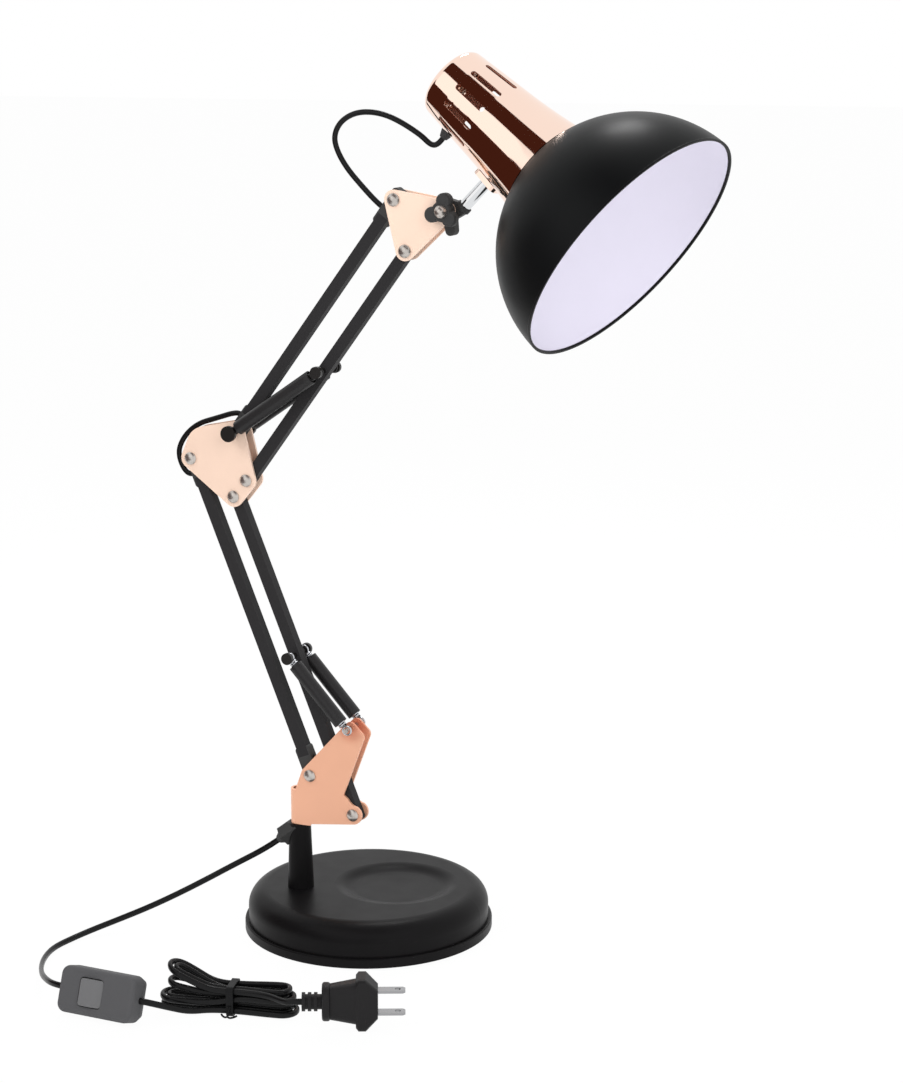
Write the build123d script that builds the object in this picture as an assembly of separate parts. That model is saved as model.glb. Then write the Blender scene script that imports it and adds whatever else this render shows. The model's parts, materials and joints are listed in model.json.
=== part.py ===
from build123d import *
import os
from math import atan2, cos, degrees, hypot, pi, radians, sin, sqrt, tan

os.makedirs("parts", exist_ok=True)

# Sizes are in millimetres and angles in degrees. The origin is the centre of
# the base's underside, +Z is up, and the arm moves in a plane parallel to XZ.

# Base: a weighted disc under a pressed cover, with a shallow dish beside the post.
BASE_DIAMETER = 150.0
BASE_HEIGHT = 25.7
RIM_HEIGHT = 6.4
RIM_WALL = 2.2
TRAY_FLOOR = 2.0
PAD_THICKNESS = 0.8
PAD_MARGIN = 5.0
COVER_WALL = 1.2
COVER_SHOULDER = 11.0
SEAT_GAP = 0.05
WEIGHT_HEIGHT = 13.0
WEIGHT_MARGIN = 8.0
DISH_DIAMETER = BASE_DIAMETER * 0.5
DISH_FLOOR_DIAMETER = DISH_DIAMETER * 0.707
DISH_DEPTH = 2.6
DISH_OFFSET = BASE_DIAMETER * 0.1133

# Post: a tapered tube that stands off the base's centre.
POST_OFFSET = 41.0
ARM_SWIVEL = 27.0
POST_FOOT_DIAMETER = 15.8
POST_TOP_DIAMETER = 13.0
POST_TOP = 66.2
POST_STUD_DIAMETER = 10.0
POST_STUD_LENGTH = 9.0
POST_NUT_WIDTH = 16.0
POST_NUT_HEIGHT = 5.0

# Cord gland on the side of the post.
GLAND_HEIGHT = 64.6
GLAND_DROP = 38.0
GLAND_WIDTH = 12.0
GLAND_LENGTH = 13.2
GLAND_NOSE = 4.8
GLAND_LIP = 1.0

# Rods, plates and fasteners of the arm.
ROD_WIDTH = 6.8
ROD_WALL = 0.9
ROD_END = 5.0
ROD_CORNER = 2.2
FITTING_WIDTH = 8.8
FITTING_END = 6.0
FITTING_LENGTH = 18.0
FITTING_POCKET = 6.0
FITTING_PLUG = 8.0
PORT_DISTANCE = 9.0
SIDE_GAP = 0.4
SHEET = 1.5
BOLT_DIAMETER = 3.0
BOLT_HEAD_DIAMETER = 7.4
BOLT_HEAD_HEIGHT = 2.4
NUT_WIDTH = 5.5
NUT_HEIGHT = 2.4
RUN_CLEARANCE = 0.05

# Arm layout: pivots are measured from the post's axis.
LOWER_PIVOT_X = 9.3
LOWER_PIVOT_Z = 97.8
LOWER_SPACING = 35.0
LOWER_SPACING_ANGLE = -37.3
LOWER_ARM = 202.0
LOWER_LEAN = 21.9
ELBOW_REACH = 29.4
ELBOW_RISE = 17.5
UPPER_SPACING = 29.3
UPPER_SPACING_ANGLE = -76.5
UPPER_ARM = 171.5
UPPER_RISE = 53.5
HEAD_REACH = 31.5
HEAD_DROP = 5.3

# Fork: a folded sheet bracket that turns in the post on a hollow spigot.
FORK_GAP = 0.3
FORK_WEB_TOP = 88.0
SPIGOT_TOP = 80.0
SPIGOT_DEPTH = 22.0
SPIGOT_WALL = 1.2
FORK_REAR_BOSS = 5.8
FORK_FRONT_BOSS = 5.8
FORK_NECK_RADIUS = 9.0
HOOK_X = 36.0
HOOK_Z = 130.0
HOOK_BOSS = 3.8
HOOK_PIN_DIAMETER = 2.8
HORN_WIDTH = 5.0
HORN_ROOT = 8.0

# Elbow and head plates.
ELBOW_BOSS = 6.2
ELBOW_LOW_BOSS = 6.2
ELBOW_CROWN_X = 10.0
ELBOW_CROWN_Z = 7.0
ELBOW_CROWN = 12.6
HEAD_BOSS = 5.6

# Springs, their sleeves and the pins that hold them.
SPRING_WIRE = 1.2
SPRING_CORE = 5.2
SLEEVE_DIAMETER = 8.4
SLEEVE_WALL = 0.8
SLEEVE_START = 5.6
RING_RADIUS = 2.6
PIN_DIAMETER = 3.0
PIN_HEAD_DIAMETER = 7.0
ELBOW_PIN_HEAD_DIAMETER = 9.4
PIN_HEAD = 2.2
PIN_SPARE = 1.6
LOWER_PIN_AT = 101.5
UPPER_PIN_AT = 84.0

# Tilt joint and stem.
BLOCK_RADIUS = 6.4
BLOCK_LUG_REACH = 11.4
BLOCK_LUG_ANGLE = -80.0
BLOCK_LUG_RADIUS = 2.8
STEM_OFFSET = 5.0
STEM_ANGLE = 45.8
STEM_DIAMETER = 7.0
STEM_TIP_DIAMETER = 5.0
STEM_TIP_DEPTH = 9.0
STEM_CUP_DIAMETER = 8.8
STEM_CUP_START = 6.2
STEM_CUP_FLOOR = 1.5
STEM_CUP_LENGTH = 2.6
STEM_LENGTH = 26.6
STEM_REACH = 55.5
STEM_SLANT = 6.5
KNOB_LOBE_REACH = 6.0
KNOB_LOBE_RADIUS = 4.4
KNOB_HUB = 5.8
KNOB_HEIGHT = 7.0
KNOB_LOBES = 3
KNOB_TURN = 78.0

# Shade and the copper socket cover behind it, along the shade's own axis.
SHADE_RADIUS = 74.5
SHADE_WALL = 1.2
SHADE_SPHERE_STATION = -2.5
SHADE_TURN = -9.15
STEM_STATION = 88.0
SOCKET_LENGTH = 145.5
SOCKET_END_RADIUS = 21.2
SOCKET_WAIST_RADIUS = 24.4
SOCKET_WAIST_STATION = 104.0
SOCKET_MOUTH_RADIUS = 29.4
SOCKET_WALL = 0.9
SOCKET_EDGE = 4.0
VENTS = 12
VENT_WIDTH = 3.4
VENT_LENGTH = 23.0
VENT_STATION = SOCKET_LENGTH - 26.5
BRACKET_LENGTH = 17.0
BRACKET_WIDTH = 11.0
BUSH_STATION = SOCKET_LENGTH - 17.0
BUSH_DIAMETER = 8.0
BUSH_LENGTH = 4.5

# Lamp holder for a 26 mm screw cap.
HOLDER_RADIUS = 17.0
HOLDER_FACE = 61.0
HOLDER_LENGTH = 38.0
HOLDER_WELL = 33.0
SHELL_BORE = 26.6
SHELL_WALL = 0.6
SHELL_LENGTH = 22.0
FLANGE_THICKNESS = 3.0
FLANGE_LIP = 9.0
CONTACT_DIAMETER = 8.0
CONTACT_HEIGHT = 2.5
RING_WIDTH = 3.8
RING_HEIGHT = 5.0

# Cords: a flat twin lead outside, as a tube of its mean width, and the lead in the arm.
CORD_DIAMETER = 3.2
LEAD_DIAMETER = 3.2
FLOOR_GAP = 0.1
CORD_SIDES = 8

# Cord switch that stands on its long edge and leans back on its tapered rear half.
SWITCH_LENGTH = 47.6
SWITCH_HEIGHT = 25.8
SWITCH_DEPTH = 17.0
SWITCH_FRONT_DEPTH = 11.0
SWITCH_CORNER = 5.0
SWITCH_EDGE = 2.2
SWITCH_LEAN = 20.0
SWITCH_X = -78.6
SWITCH_Y = -184.6
SWITCH_YAW = -2.9
ROCKER_LENGTH = 14.0
ROCKER_WIDTH = 15.0
ROCKER_THICKNESS = 5.0
ROCKER_PROUD = 1.8
ROCKER_TILT = 6.0
ROCKER_GAP = 0.6
ROCKER_PIN = 1.6
ROCKER_CORNER = 1.6
ROCKER_SHIFT = -3.0

# Hank: one cord folded into loops in four layers and tied at the waist.
HANK_X = -18.0
HANK_Y = -152.0
HANK_YAW = 12.5
HANK_HALF_RUN = 31.5
HANK_PITCH = 3.75
HANK_INNER = 2.9
HANK_WAIST = 1.9
HANK_WAIST_HALF = 8.0
HANK_LEAD = 5.0
HANK_LIFT = 1.3
HANK_LEFT_STEP = 2.0
HANK_RIGHT_STEP = 0.8
SAMPLE_STEP = 2.0
TIE_WIDTH = 4.0
TIE_THICKNESS = 1.0
TIE_GAP = 0.3
TIE_AT = 3.0

# Two-blade plug.
PLUG_GAP = 14.15
PLUG_SHIFT = 7.95
PLUG_HEIGHT = 15.2
PLUG_YAW = 23.0
PLUG_RELIEF_RADIUS = 5.2
PLUG_RELIEF_LENGTH = 10.0
PLUG_RIBS = 3
PLUG_COLLAR_RADIUS = 10.6
PLUG_COLLAR = 4.5
PLUG_COLLAR_EDGE = 1.4
PLUG_BODY_LENGTH = 26.0
PLUG_BODY_WIDTH = 24.0
PLUG_BODY_DEPTH = 15.0
PLUG_FLANGE = 12.0
PLUG_FLANGE_WIDTH = 30.0
PLUG_CHAMFER = 6.6
PLUG_CORNER = 3.0
BLADE_SPACING = 12.7
BLADE_WIDTH = 6.3
BLADE_THICKNESS = 1.5
BLADE_LENGTH = 15.0
BLADE_HOLE = 3.2

# Values worked out from the sizes above.
POST_X = -POST_OFFSET * cos(radians(ARM_SWIVEL))
POST_Y = -POST_OFFSET * sin(radians(ARM_SWIVEL))
DISH_X = DISH_OFFSET * cos(radians(ARM_SWIVEL))
DISH_Y = DISH_OFFSET * sin(radians(ARM_SWIVEL))
PLATE_IN = ROD_WIDTH / 2 + SIDE_GAP
PLATE_OUT = PLATE_IN + SHEET
PLATE_MID = (PLATE_IN + PLATE_OUT) / 2
BOLT_RADIUS = BOLT_DIAMETER / 2
HOLE_RADIUS = BOLT_RADIUS + RUN_CLEARANCE
SPRING_SIDE = PLATE_OUT + SLEEVE_DIAMETER / 2 + SIDE_GAP
FORK_BOTTOM = POST_TOP + FORK_GAP
SPIGOT_RADIUS = PLATE_IN - SEAT_GAP
COVER_RADIUS = BASE_DIAMETER / 2 - RIM_WALL - SEAT_GAP
TRAY_TOP = PAD_THICKNESS + TRAY_FLOOR
CORD_RADIUS = CORD_DIAMETER / 2
LEAD_RADIUS = LEAD_DIAMETER / 2


def arm(x, z, y=0.0):
    """A point of the arm, measured from the post's axis."""
    return Vector(POST_X + x, POST_Y + y, z)


def heading(angle):
    """A unit vector in the arm's plane, at an angle above +X."""
    return Vector(cos(radians(angle)), 0, sin(radians(angle)))


LOWER_DIRECTION = heading(90 + LOWER_LEAN)
UPPER_DIRECTION = heading(UPPER_RISE)
FORK_REAR = arm(LOWER_PIVOT_X, LOWER_PIVOT_Z)
FORK_FRONT = FORK_REAR + heading(LOWER_SPACING_ANGLE) * LOWER_SPACING
ELBOW_REAR = FORK_REAR + LOWER_DIRECTION * LOWER_ARM
ELBOW_FRONT = FORK_FRONT + LOWER_DIRECTION * LOWER_ARM
ELBOW_TOP = ELBOW_REAR + Vector(ELBOW_REACH, 0, ELBOW_RISE)
ELBOW_LOW = ELBOW_TOP + heading(UPPER_SPACING_ANGLE) * UPPER_SPACING
HEAD_REAR = ELBOW_TOP + UPPER_DIRECTION * UPPER_ARM
HEAD_FRONT = ELBOW_LOW + UPPER_DIRECTION * UPPER_ARM
TILT = HEAD_REAR + Vector(HEAD_REACH, 0, -HEAD_DROP)
LOWER_PIN = FORK_FRONT + LOWER_DIRECTION * LOWER_PIN_AT
UPPER_PIN = ELBOW_LOW + UPPER_DIRECTION * UPPER_PIN_AT
HOOK = arm(HOOK_X, HOOK_Z)
STEM_DIRECTION = heading(STEM_ANGLE)
STEM_SIDE = heading(STEM_ANGLE - 90)
STEM_FOOT = TILT + STEM_SIDE * STEM_OFFSET
STEM_END = STEM_FOOT + STEM_DIRECTION * STEM_REACH
SHADE_FLAT_AXIS = heading(STEM_ANGLE - 90 + STEM_SLANT)
SHADE_AXIS = SHADE_FLAT_AXIS.rotate(Axis((0, 0, 0), STEM_DIRECTION), SHADE_TURN)
SHADE_BACK = SHADE_AXIS * -1
SHADE_CENTRE = STEM_END + SHADE_AXIS * STEM_STATION
PIECES = {}


def keep(name, solid):
    """Write one node's solids to its own file and remember them."""
    solids = solid.solids()
    shape = solids[0] if len(solids) == 1 else Compound(children=list(solids))
    shape.label = name
    export_step(shape, os.path.join("parts", name + ".step"))
    PIECES[name] = shape


def slab(sketch, low, high):
    """A plate with a profile in XZ, between two distances from the arm's plane."""
    plane = Plane(origin=(0, POST_Y + high, 0), x_dir=(1, 0, 0), z_dir=(0, -1, 0))
    return extrude(plane * sketch, amount=high - low)


def flat(point):
    """The XZ place of a point, for a profile in the arm's plane."""
    return Pos(point.X, point.Z)


def disc(point, radius):
    """A circle in the arm's plane about a point."""
    return flat(point) * Circle(radius)


def hull(*circles):
    """The tangent outline round several circles."""
    edges = []
    for circle in circles:
        edges += circle.edges()
    return make_hull(edges)


def cross_pin(point, radius, low, high):
    """A round bar across the arm's plane."""
    return slab(disc(point, radius), low, high)


def along(start, direction, radius, length):
    """A round bar from a point along a direction."""
    plane = Plane(origin=start, z_dir=direction)
    return extrude(plane * Circle(radius), amount=length)


def mirrored(solid):
    """A solid together with its mirror image across the arm's plane."""
    other = mirror(solid, about=Plane.XZ.offset(-POST_Y))
    return Compound(children=[solid.solids()[0], other.solids()[0]])


def group(*solids):
    """Several separate solids of one node."""
    children = []
    for solid in solids:
        children += solid.solids()
    return Compound(children=children)


def fillet_radii(points, share=0.45):
    """The largest arc that each corner of a route has room for."""
    radii = []
    for before, here, after in zip(points, points[1:], points[2:]):
        into = Vector(*here) - Vector(*before)
        out = Vector(*after) - Vector(*here)
        turn = radians(into.get_angle(out))
        radii.append(share * min(into.length, out.length) / tan(turn / 2))
    return radii


def cord_along(name, path, radius):
    """A cord swept along a path, with its length and its share of the expected volume printed."""
    section = Plane(origin=path @ 0, z_dir=path % 0) * RegularPolygon(radius, CORD_SIDES)
    solid = sweep(section, path=path)
    area = CORD_SIDES / 2 * radius ** 2 * sin(2 * pi / CORD_SIDES)
    share = solid.volume / (area * path.length)
    print(name, "length", round(path.length, 1), "volume share", round(share, 4))
    return solid


def tube(name, points, radius):
    """A cord along straight runs joined by tangent arcs."""
    radii = fillet_radii(points)
    print(name, "radii", [round(value, 1) for value in radii])
    return cord_along(name, FilletPolyline(*points, radius=radii), radius)


def bolt(point):
    """A domed bolt through both plates, with its nut at the back."""
    shank = cross_pin(point, BOLT_RADIUS, -PLATE_OUT, PLATE_OUT + NUT_HEIGHT)
    head_plane = Plane(origin=(point.X, POST_Y - PLATE_OUT, point.Z), z_dir=(0, -1, 0))
    head_radius = BOLT_HEAD_DIAMETER / 2
    rim = BOLT_HEAD_HEIGHT * 0.3
    rise = BOLT_HEAD_HEIGHT - rim
    ball = (head_radius ** 2 + rise ** 2) / (2 * rise)
    half = head_radius / 2
    middle = (half, BOLT_HEAD_HEIGHT - ball + sqrt(ball ** 2 - half ** 2))
    head = turned([(0, 0), (head_radius, 0), (head_radius, rim), (0, BOLT_HEAD_HEIGHT)], [(2, middle)])
    return shank + head_plane * head


def bolt_nut(point):
    """The hexagon nut of one bolt."""
    outline = flat(point) * RegularPolygon(NUT_WIDTH / 2, 6, major_radius=False)
    return slab(outline - disc(point, BOLT_RADIUS + SEAT_GAP), PLATE_OUT, PLATE_OUT + NUT_HEIGHT)


def turned(points, arcs=()):
    """A solid of revolution about Z from corners, with arcs in place of some sides."""
    with BuildLine() as line:
        for index, (start, end) in enumerate(zip(points, points[1:] + points[:1])):
            if index in dict(arcs):
                ThreePointArc(start, dict(arcs)[index], end)
            else:
                Line(start, end)
    return revolve(Plane.XZ * make_face(line.line), axis=Axis.Z)


def dish_solid(drop):
    """The space above the dish, with an S-shaped side; drop grows it by a wall."""
    outer = DISH_DIAMETER / 2
    inner = DISH_FLOOR_DIAMETER / 2
    middle = (outer + inner) / 2
    top = BASE_HEIGHT - drop
    low = top - DISH_DEPTH
    run = outer - inner
    bend = (run ** 2 + DISH_DEPTH ** 2) / (4 * DISH_DEPTH)
    quarter = run / 4
    sag = bend - sqrt(bend ** 2 - quarter ** 2)
    with BuildLine() as line:
        Line((0, low), (inner, low))
        ThreePointArc((inner, low), (inner + quarter, low + sag), (middle, (top + low) / 2))
        ThreePointArc((middle, (top + low) / 2), (outer - quarter, top - sag), (outer, top))
        Polyline((outer, top), (outer, BASE_HEIGHT + drop + 1), (0, BASE_HEIGHT + drop + 1), (0, low))
    return Pos(DISH_X, DISH_Y, 0) * revolve(Plane.XZ * make_face(line.line), axis=Axis.Z)


def cover_block(radius, top, shoulder, bottom):
    """A disc with a round shoulder."""
    diagonal = shoulder * (1 - cos(radians(45)))
    points = [(0, bottom), (radius, bottom), (radius, top - shoulder), (radius - shoulder, top), (0, top)]
    return turned(points, [(2, (radius - diagonal, top - diagonal))])


def base():
    """Weighted base: tray, weight, pressed cover with its dish, and the pad below."""
    outer_radius = BASE_DIAMETER / 2
    soft = RIM_WALL * 0.45
    bend = soft * (1 - cos(radians(45)))
    tray = turned([(0, PAD_THICKNESS), (outer_radius, PAD_THICKNESS), (outer_radius, RIM_HEIGHT - soft),
                   (outer_radius - soft, RIM_HEIGHT), (outer_radius - RIM_WALL, RIM_HEIGHT),
                   (outer_radius - RIM_WALL, TRAY_TOP), (0, TRAY_TOP)],
                  [(2, (outer_radius - bend, RIM_HEIGHT - bend))])
    keep("base_tray", tray)
    keep("foot_pad", extrude(Circle(outer_radius - PAD_MARGIN), amount=PAD_THICKNESS))
    outside = cover_block(COVER_RADIUS, BASE_HEIGHT, COVER_SHOULDER, TRAY_TOP) - dish_solid(0)
    inside = cover_block(COVER_RADIUS - COVER_WALL, BASE_HEIGHT - COVER_WALL,
                         COVER_SHOULDER - COVER_WALL, TRAY_TOP) - dish_solid(COVER_WALL)
    stud_bore = Circle(POST_STUD_DIAMETER / 2 + SEAT_GAP)
    stud_hole = Pos(POST_X, POST_Y, 0) * extrude(stud_bore, amount=BASE_HEIGHT + 1)
    keep("base_cover", outside - inside - stud_hole)
    weight = Pos(0, 0, TRAY_TOP) * extrude(Circle(COVER_RADIUS - WEIGHT_MARGIN), amount=WEIGHT_HEIGHT)
    nut_room = Pos(POST_X, POST_Y, 0) * extrude(Circle(POST_NUT_WIDTH * 0.6 + 2), amount=BASE_HEIGHT)
    keep("base_weight", weight - nut_room)


def post_outside():
    """The post's tapered outside."""
    foot = POST_FOOT_DIAMETER / 2
    top = POST_TOP_DIAMETER / 2
    outline = [(0, BASE_HEIGHT), (foot, BASE_HEIGHT), (top, POST_TOP), (0, POST_TOP)]
    return Pos(POST_X, POST_Y, 0) * turned(outline)


def gland_axis():
    """Where the gland's axis starts inside the post, and its direction."""
    return arm(0, GLAND_HEIGHT), heading(180 + GLAND_DROP)


def post():
    """Post with its stud and nut, and the gland that lets the cord out."""
    stud = Pos(POST_X, POST_Y, BASE_HEIGHT - POST_STUD_LENGTH) * extrude(
        Circle(POST_STUD_DIAMETER / 2), amount=POST_STUD_LENGTH)
    bore = Pos(POST_X, POST_Y, POST_TOP - SPIGOT_DEPTH) * extrude(
        Circle(SPIGOT_RADIUS + RUN_CLEARANCE), amount=SPIGOT_DEPTH)
    keep("post", post_outside() + stud - bore)
    nut_top = BASE_HEIGHT - COVER_WALL
    nut_face = RegularPolygon(POST_NUT_WIDTH / 2, 6, major_radius=False)
    nut_face -= Circle(POST_STUD_DIAMETER / 2 + SEAT_GAP)
    keep("post_nut", Pos(POST_X, POST_Y, nut_top - POST_NUT_HEIGHT) * extrude(nut_face, amount=POST_NUT_HEIGHT))
    start, direction = gland_axis()
    plane = Plane(origin=start, x_dir=(0, 1, 0), z_dir=direction)
    collar = extrude(plane * RegularPolygon(GLAND_WIDTH / 2, 6, major_radius=False), amount=GLAND_LENGTH)
    nose_plane = plane.offset(GLAND_LENGTH)
    nose = loft([nose_plane * Circle(GLAND_WIDTH / 2 - GLAND_LIP),
                 nose_plane.offset(GLAND_NOSE) * Circle(CORD_RADIUS + GLAND_LIP)])
    foot_radius = POST_FOOT_DIAMETER / 2 + SEAT_GAP
    top_radius = POST_TOP_DIAMETER / 2 + SEAT_GAP
    saddle_outline = [(0, BASE_HEIGHT), (foot_radius, BASE_HEIGHT), (top_radius, POST_TOP),
                      (top_radius, POST_TOP + 20), (0, POST_TOP + 20)]
    saddle = Pos(POST_X, POST_Y, 0) * turned(saddle_outline)
    above = Pos(POST_X, POST_Y, POST_TOP) * Box(60, 60, 40, align=(Align.CENTER, Align.CENTER, Align.MIN))
    gland = collar + nose - saddle - above
    keep("cord_gland", gland.solids().sort_by(SortBy.VOLUME)[-1])


def fork_outline():
    """Side view of the fork: a web round the spigot, two bosses and the spring horn."""
    left = POST_X - PLATE_OUT - 1
    web_right = FORK_REAR.X
    web = Polyline((left, FORK_BOTTOM), (web_right, FORK_BOTTOM), (web_right, FORK_WEB_TOP),
                   (left, FORK_WEB_TOP), close=True)
    web_post = Pos(POST_X, FORK_BOTTOM + 2) * Circle(2)
    corner = Pos(POST_X + 1, FORK_WEB_TOP - 2) * Circle(2)
    rear = disc(FORK_REAR, FORK_REAR_BOSS)
    plate = make_face(web) + hull(web_post, corner, rear, disc(FORK_FRONT, FORK_FRONT_BOSS))
    horn = hull(rear, disc(HOOK, HOOK_BOSS), disc(HOOK + Vector(HORN_WIDTH, 0, -HORN_WIDTH), HOOK_BOSS),
                disc(FORK_REAR + Vector(14, 0, -8), HORN_ROOT))
    throat_way = (HOOK - FORK_FRONT).normalized()
    throat = FORK_FRONT + throat_way * (FORK_FRONT_BOSS + FORK_NECK_RADIUS) + Vector(5.2, 0, -1.0)
    return plate + horn - disc(throat, FORK_NECK_RADIUS)


def fork():
    """Folded fork with its spigot, the two arm bolts and the pins that carry the lower springs."""
    plan = Pos(POST_X, POST_Y) * (Circle(PLATE_OUT) + Pos(60, 0) * Rectangle(120, 2 * PLATE_OUT)
                                  - Circle(PLATE_IN) - Pos(61, 0) * Rectangle(122, 2 * PLATE_IN))
    wall = Pos(0, 0, FORK_BOTTOM) * extrude(plan, amount=HOOK_Z + HOOK_BOSS + 10 - FORK_BOTTOM)
    holes = disc(FORK_REAR, BOLT_RADIUS + SEAT_GAP) + disc(FORK_FRONT, BOLT_RADIUS + SEAT_GAP)
    holes += disc(HOOK, HOOK_PIN_DIAMETER / 2 + SEAT_GAP)
    outline = slab(fork_outline() - holes, -PLATE_OUT - 1, PLATE_OUT + 1)
    keep("fork", (wall & outline).solids().sort_by(SortBy.VOLUME)[-1])
    spigot = Circle(SPIGOT_RADIUS) - Circle(SPIGOT_RADIUS - SPIGOT_WALL)
    bottom = POST_TOP - SPIGOT_DEPTH + FORK_GAP
    keep("fork_spigot", Pos(POST_X, POST_Y, bottom) * extrude(spigot, amount=SPIGOT_TOP - bottom))
    hook_reach = SPRING_SIDE + SPRING_WIRE / 2 + PIN_SPARE
    front_pin = cross_pin(HOOK, HOOK_PIN_DIAMETER / 2, -hook_reach, -PLATE_IN)
    rear_pin = cross_pin(HOOK, HOOK_PIN_DIAMETER / 2, PLATE_IN, hook_reach)
    keep("fork_bolts", group(*[bolt(p) for p in (FORK_REAR, FORK_FRONT)], front_pin, rear_pin))
    keep("fork_nuts", group(*[bolt_nut(p) for p in (FORK_REAR, FORK_FRONT)]))


def rod_plane(start, direction):
    """A plane along a rod: its X runs up the rod and its Y points to the rod's left."""
    return Plane(origin=start, x_dir=direction, z_dir=(0, -1, 0))


def bar(plane, x_low, x_high, width, thickness, corner=0.0):
    """A bar on a rod's plane, with its corners rounded if asked."""
    centre = Pos((x_low + x_high) / 2, 0)
    length = x_high - x_low
    sketch = RectangleRounded(length, width, corner) if corner else Rectangle(length, width)
    return extrude(plane * (centre * sketch), amount=thickness / 2, both=True)


def front_rod(start, direction, length, pin_at):
    """A plain square tube with pivot holes and the hole of its spring pin."""
    plane = rod_plane(start, direction)
    inner = ROD_WIDTH - 2 * ROD_WALL
    solid = bar(plane, -ROD_END, length + ROD_END, ROD_WIDTH, ROD_WIDTH, ROD_CORNER)
    solid -= bar(plane, -ROD_END - 1, length + ROD_END + 1, inner, inner)
    for place, radius in ((0, HOLE_RADIUS), (length, HOLE_RADIUS), (pin_at, PIN_DIAMETER / 2 + SEAT_GAP)):
        solid -= extrude(plane * (Pos(place, 0) * Circle(radius)), amount=ROD_WIDTH, both=True)
    return solid


def rear_rod(start, direction, length):
    """A square tube that ends in the pockets of its two end fittings."""
    plane = rod_plane(start, direction)
    low = FITTING_LENGTH - FITTING_POCKET
    inner = ROD_WIDTH - 2 * ROD_WALL
    outside = bar(plane, low, length - low, ROD_WIDTH, ROD_WIDTH)
    return outside - bar(plane, low - 1, length - low + 1, inner, inner)


def fitting(pivot, direction, side, hole):
    """A moulded rod end with its pivot hole, tube pocket and slanted cord port."""
    plane = rod_plane(pivot, direction)
    low = FITTING_LENGTH - FITTING_POCKET
    block = bar(plane, -FITTING_END, FITTING_LENGTH, FITTING_WIDTH, ROD_WIDTH, ROD_CORNER)
    block -= bar(plane, low, FITTING_LENGTH + 1, ROD_WIDTH + 2 * SEAT_GAP, ROD_WIDTH + 1)
    block += bar(plane, low - 1, low + FITTING_PLUG, ROD_WIDTH - 2 * ROD_WALL - 2 * SEAT_GAP,
                 ROD_WIDTH - 2 * ROD_WALL - 2 * SEAT_GAP)
    block -= extrude(plane * Circle(hole), amount=ROD_WIDTH, both=True)
    left = direction.rotate(Axis((0, 0, 0), (0, 1, 0)), -90) * side
    bend = pivot + direction * PORT_DISTANCE
    block -= along(bend, direction, LEAD_RADIUS + 0.2, FITTING_LENGTH + FITTING_PLUG)
    block -= along(bend, left, LEAD_RADIUS + 0.2, FITTING_WIDTH)
    block -= Pos(*bend) * Sphere(LEAD_RADIUS + 0.2)
    return block


def port(pivot, direction, side):
    """The mouth of a fitting's cord port, and the way out of it."""
    left = direction.rotate(Axis((0, 0, 0), (0, 1, 0)), -90) * side
    return pivot + direction * PORT_DISTANCE + left * (FITTING_WIDTH / 2), left


def spring_pin(point, head_diameter):
    """A headed pin through a rod or the elbow, long enough for a spring each side."""
    reach = SPRING_SIDE + SPRING_WIRE / 2 + PIN_SPARE
    shaft = cross_pin(point, PIN_DIAMETER / 2, -reach, reach)
    head = head_diameter / 2
    front = cross_pin(point, head, -reach - PIN_HEAD, -reach)
    back = cross_pin(point, head, reach, reach + PIN_HEAD)
    return shaft + front + back


def ring(centre, axis):
    """One closed end loop of a spring."""
    section = Plane.XZ * (Pos(RING_RADIUS, 0) * RegularPolygon(SPRING_WIRE / 2, 6))
    return Plane(origin=centre, z_dir=axis) * revolve(section, axis=Axis.Z)


def spring(low_pin, high_pin):
    """A sleeved spring in front of the arm: its core with an end loop on each pin, and its sleeve."""
    start = low_pin + Vector(0, -SPRING_SIDE, 0)
    end = high_pin + Vector(0, -SPRING_SIDE, 0)
    direction = (end - start).normalized()
    length = (end - start).length
    sleeve_low = start + direction * SLEEVE_START
    sleeve_length = length - 2 * SLEEVE_START
    core = along(sleeve_low, direction, SPRING_CORE / 2, sleeve_length)
    necks = along(start + direction * RING_RADIUS, direction, SPRING_WIRE / 2, length - 2 * RING_RADIUS)
    wire = core + necks + ring(start, (0, 1, 0)) + ring(end, (0, 1, 0))
    sleeve = along(sleeve_low, direction, SLEEVE_DIAMETER / 2, sleeve_length)
    sleeve -= along(sleeve_low, direction, SLEEVE_DIAMETER / 2 - SLEEVE_WALL, sleeve_length)
    return wire, sleeve


def lower_arm():
    """Lower parallelogram: two rods, the spring pin and a sleeved spring on each side."""
    keep("lower_rear_rod", rear_rod(FORK_REAR, LOWER_DIRECTION, LOWER_ARM))
    keep("lower_rear_ends", group(fitting(FORK_REAR, LOWER_DIRECTION, -1, HOLE_RADIUS),
                                  fitting(ELBOW_REAR, LOWER_DIRECTION * -1, -1, HOLE_RADIUS)))
    inset = PORT_DISTANCE + FITTING_WIDTH
    lead_low = FORK_REAR + LOWER_DIRECTION * inset
    keep("lower_lead", along(lead_low, LOWER_DIRECTION, LEAD_RADIUS, LOWER_ARM - 2 * inset))
    keep("lower_front_rod", front_rod(FORK_FRONT, LOWER_DIRECTION, LOWER_ARM, LOWER_PIN_AT))
    keep("lower_spring_pin", spring_pin(LOWER_PIN, PIN_HEAD_DIAMETER))
    wire, sleeve = spring(HOOK, LOWER_PIN)
    keep("lower_springs", mirrored(wire))
    keep("lower_sleeves", mirrored(sleeve))


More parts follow.
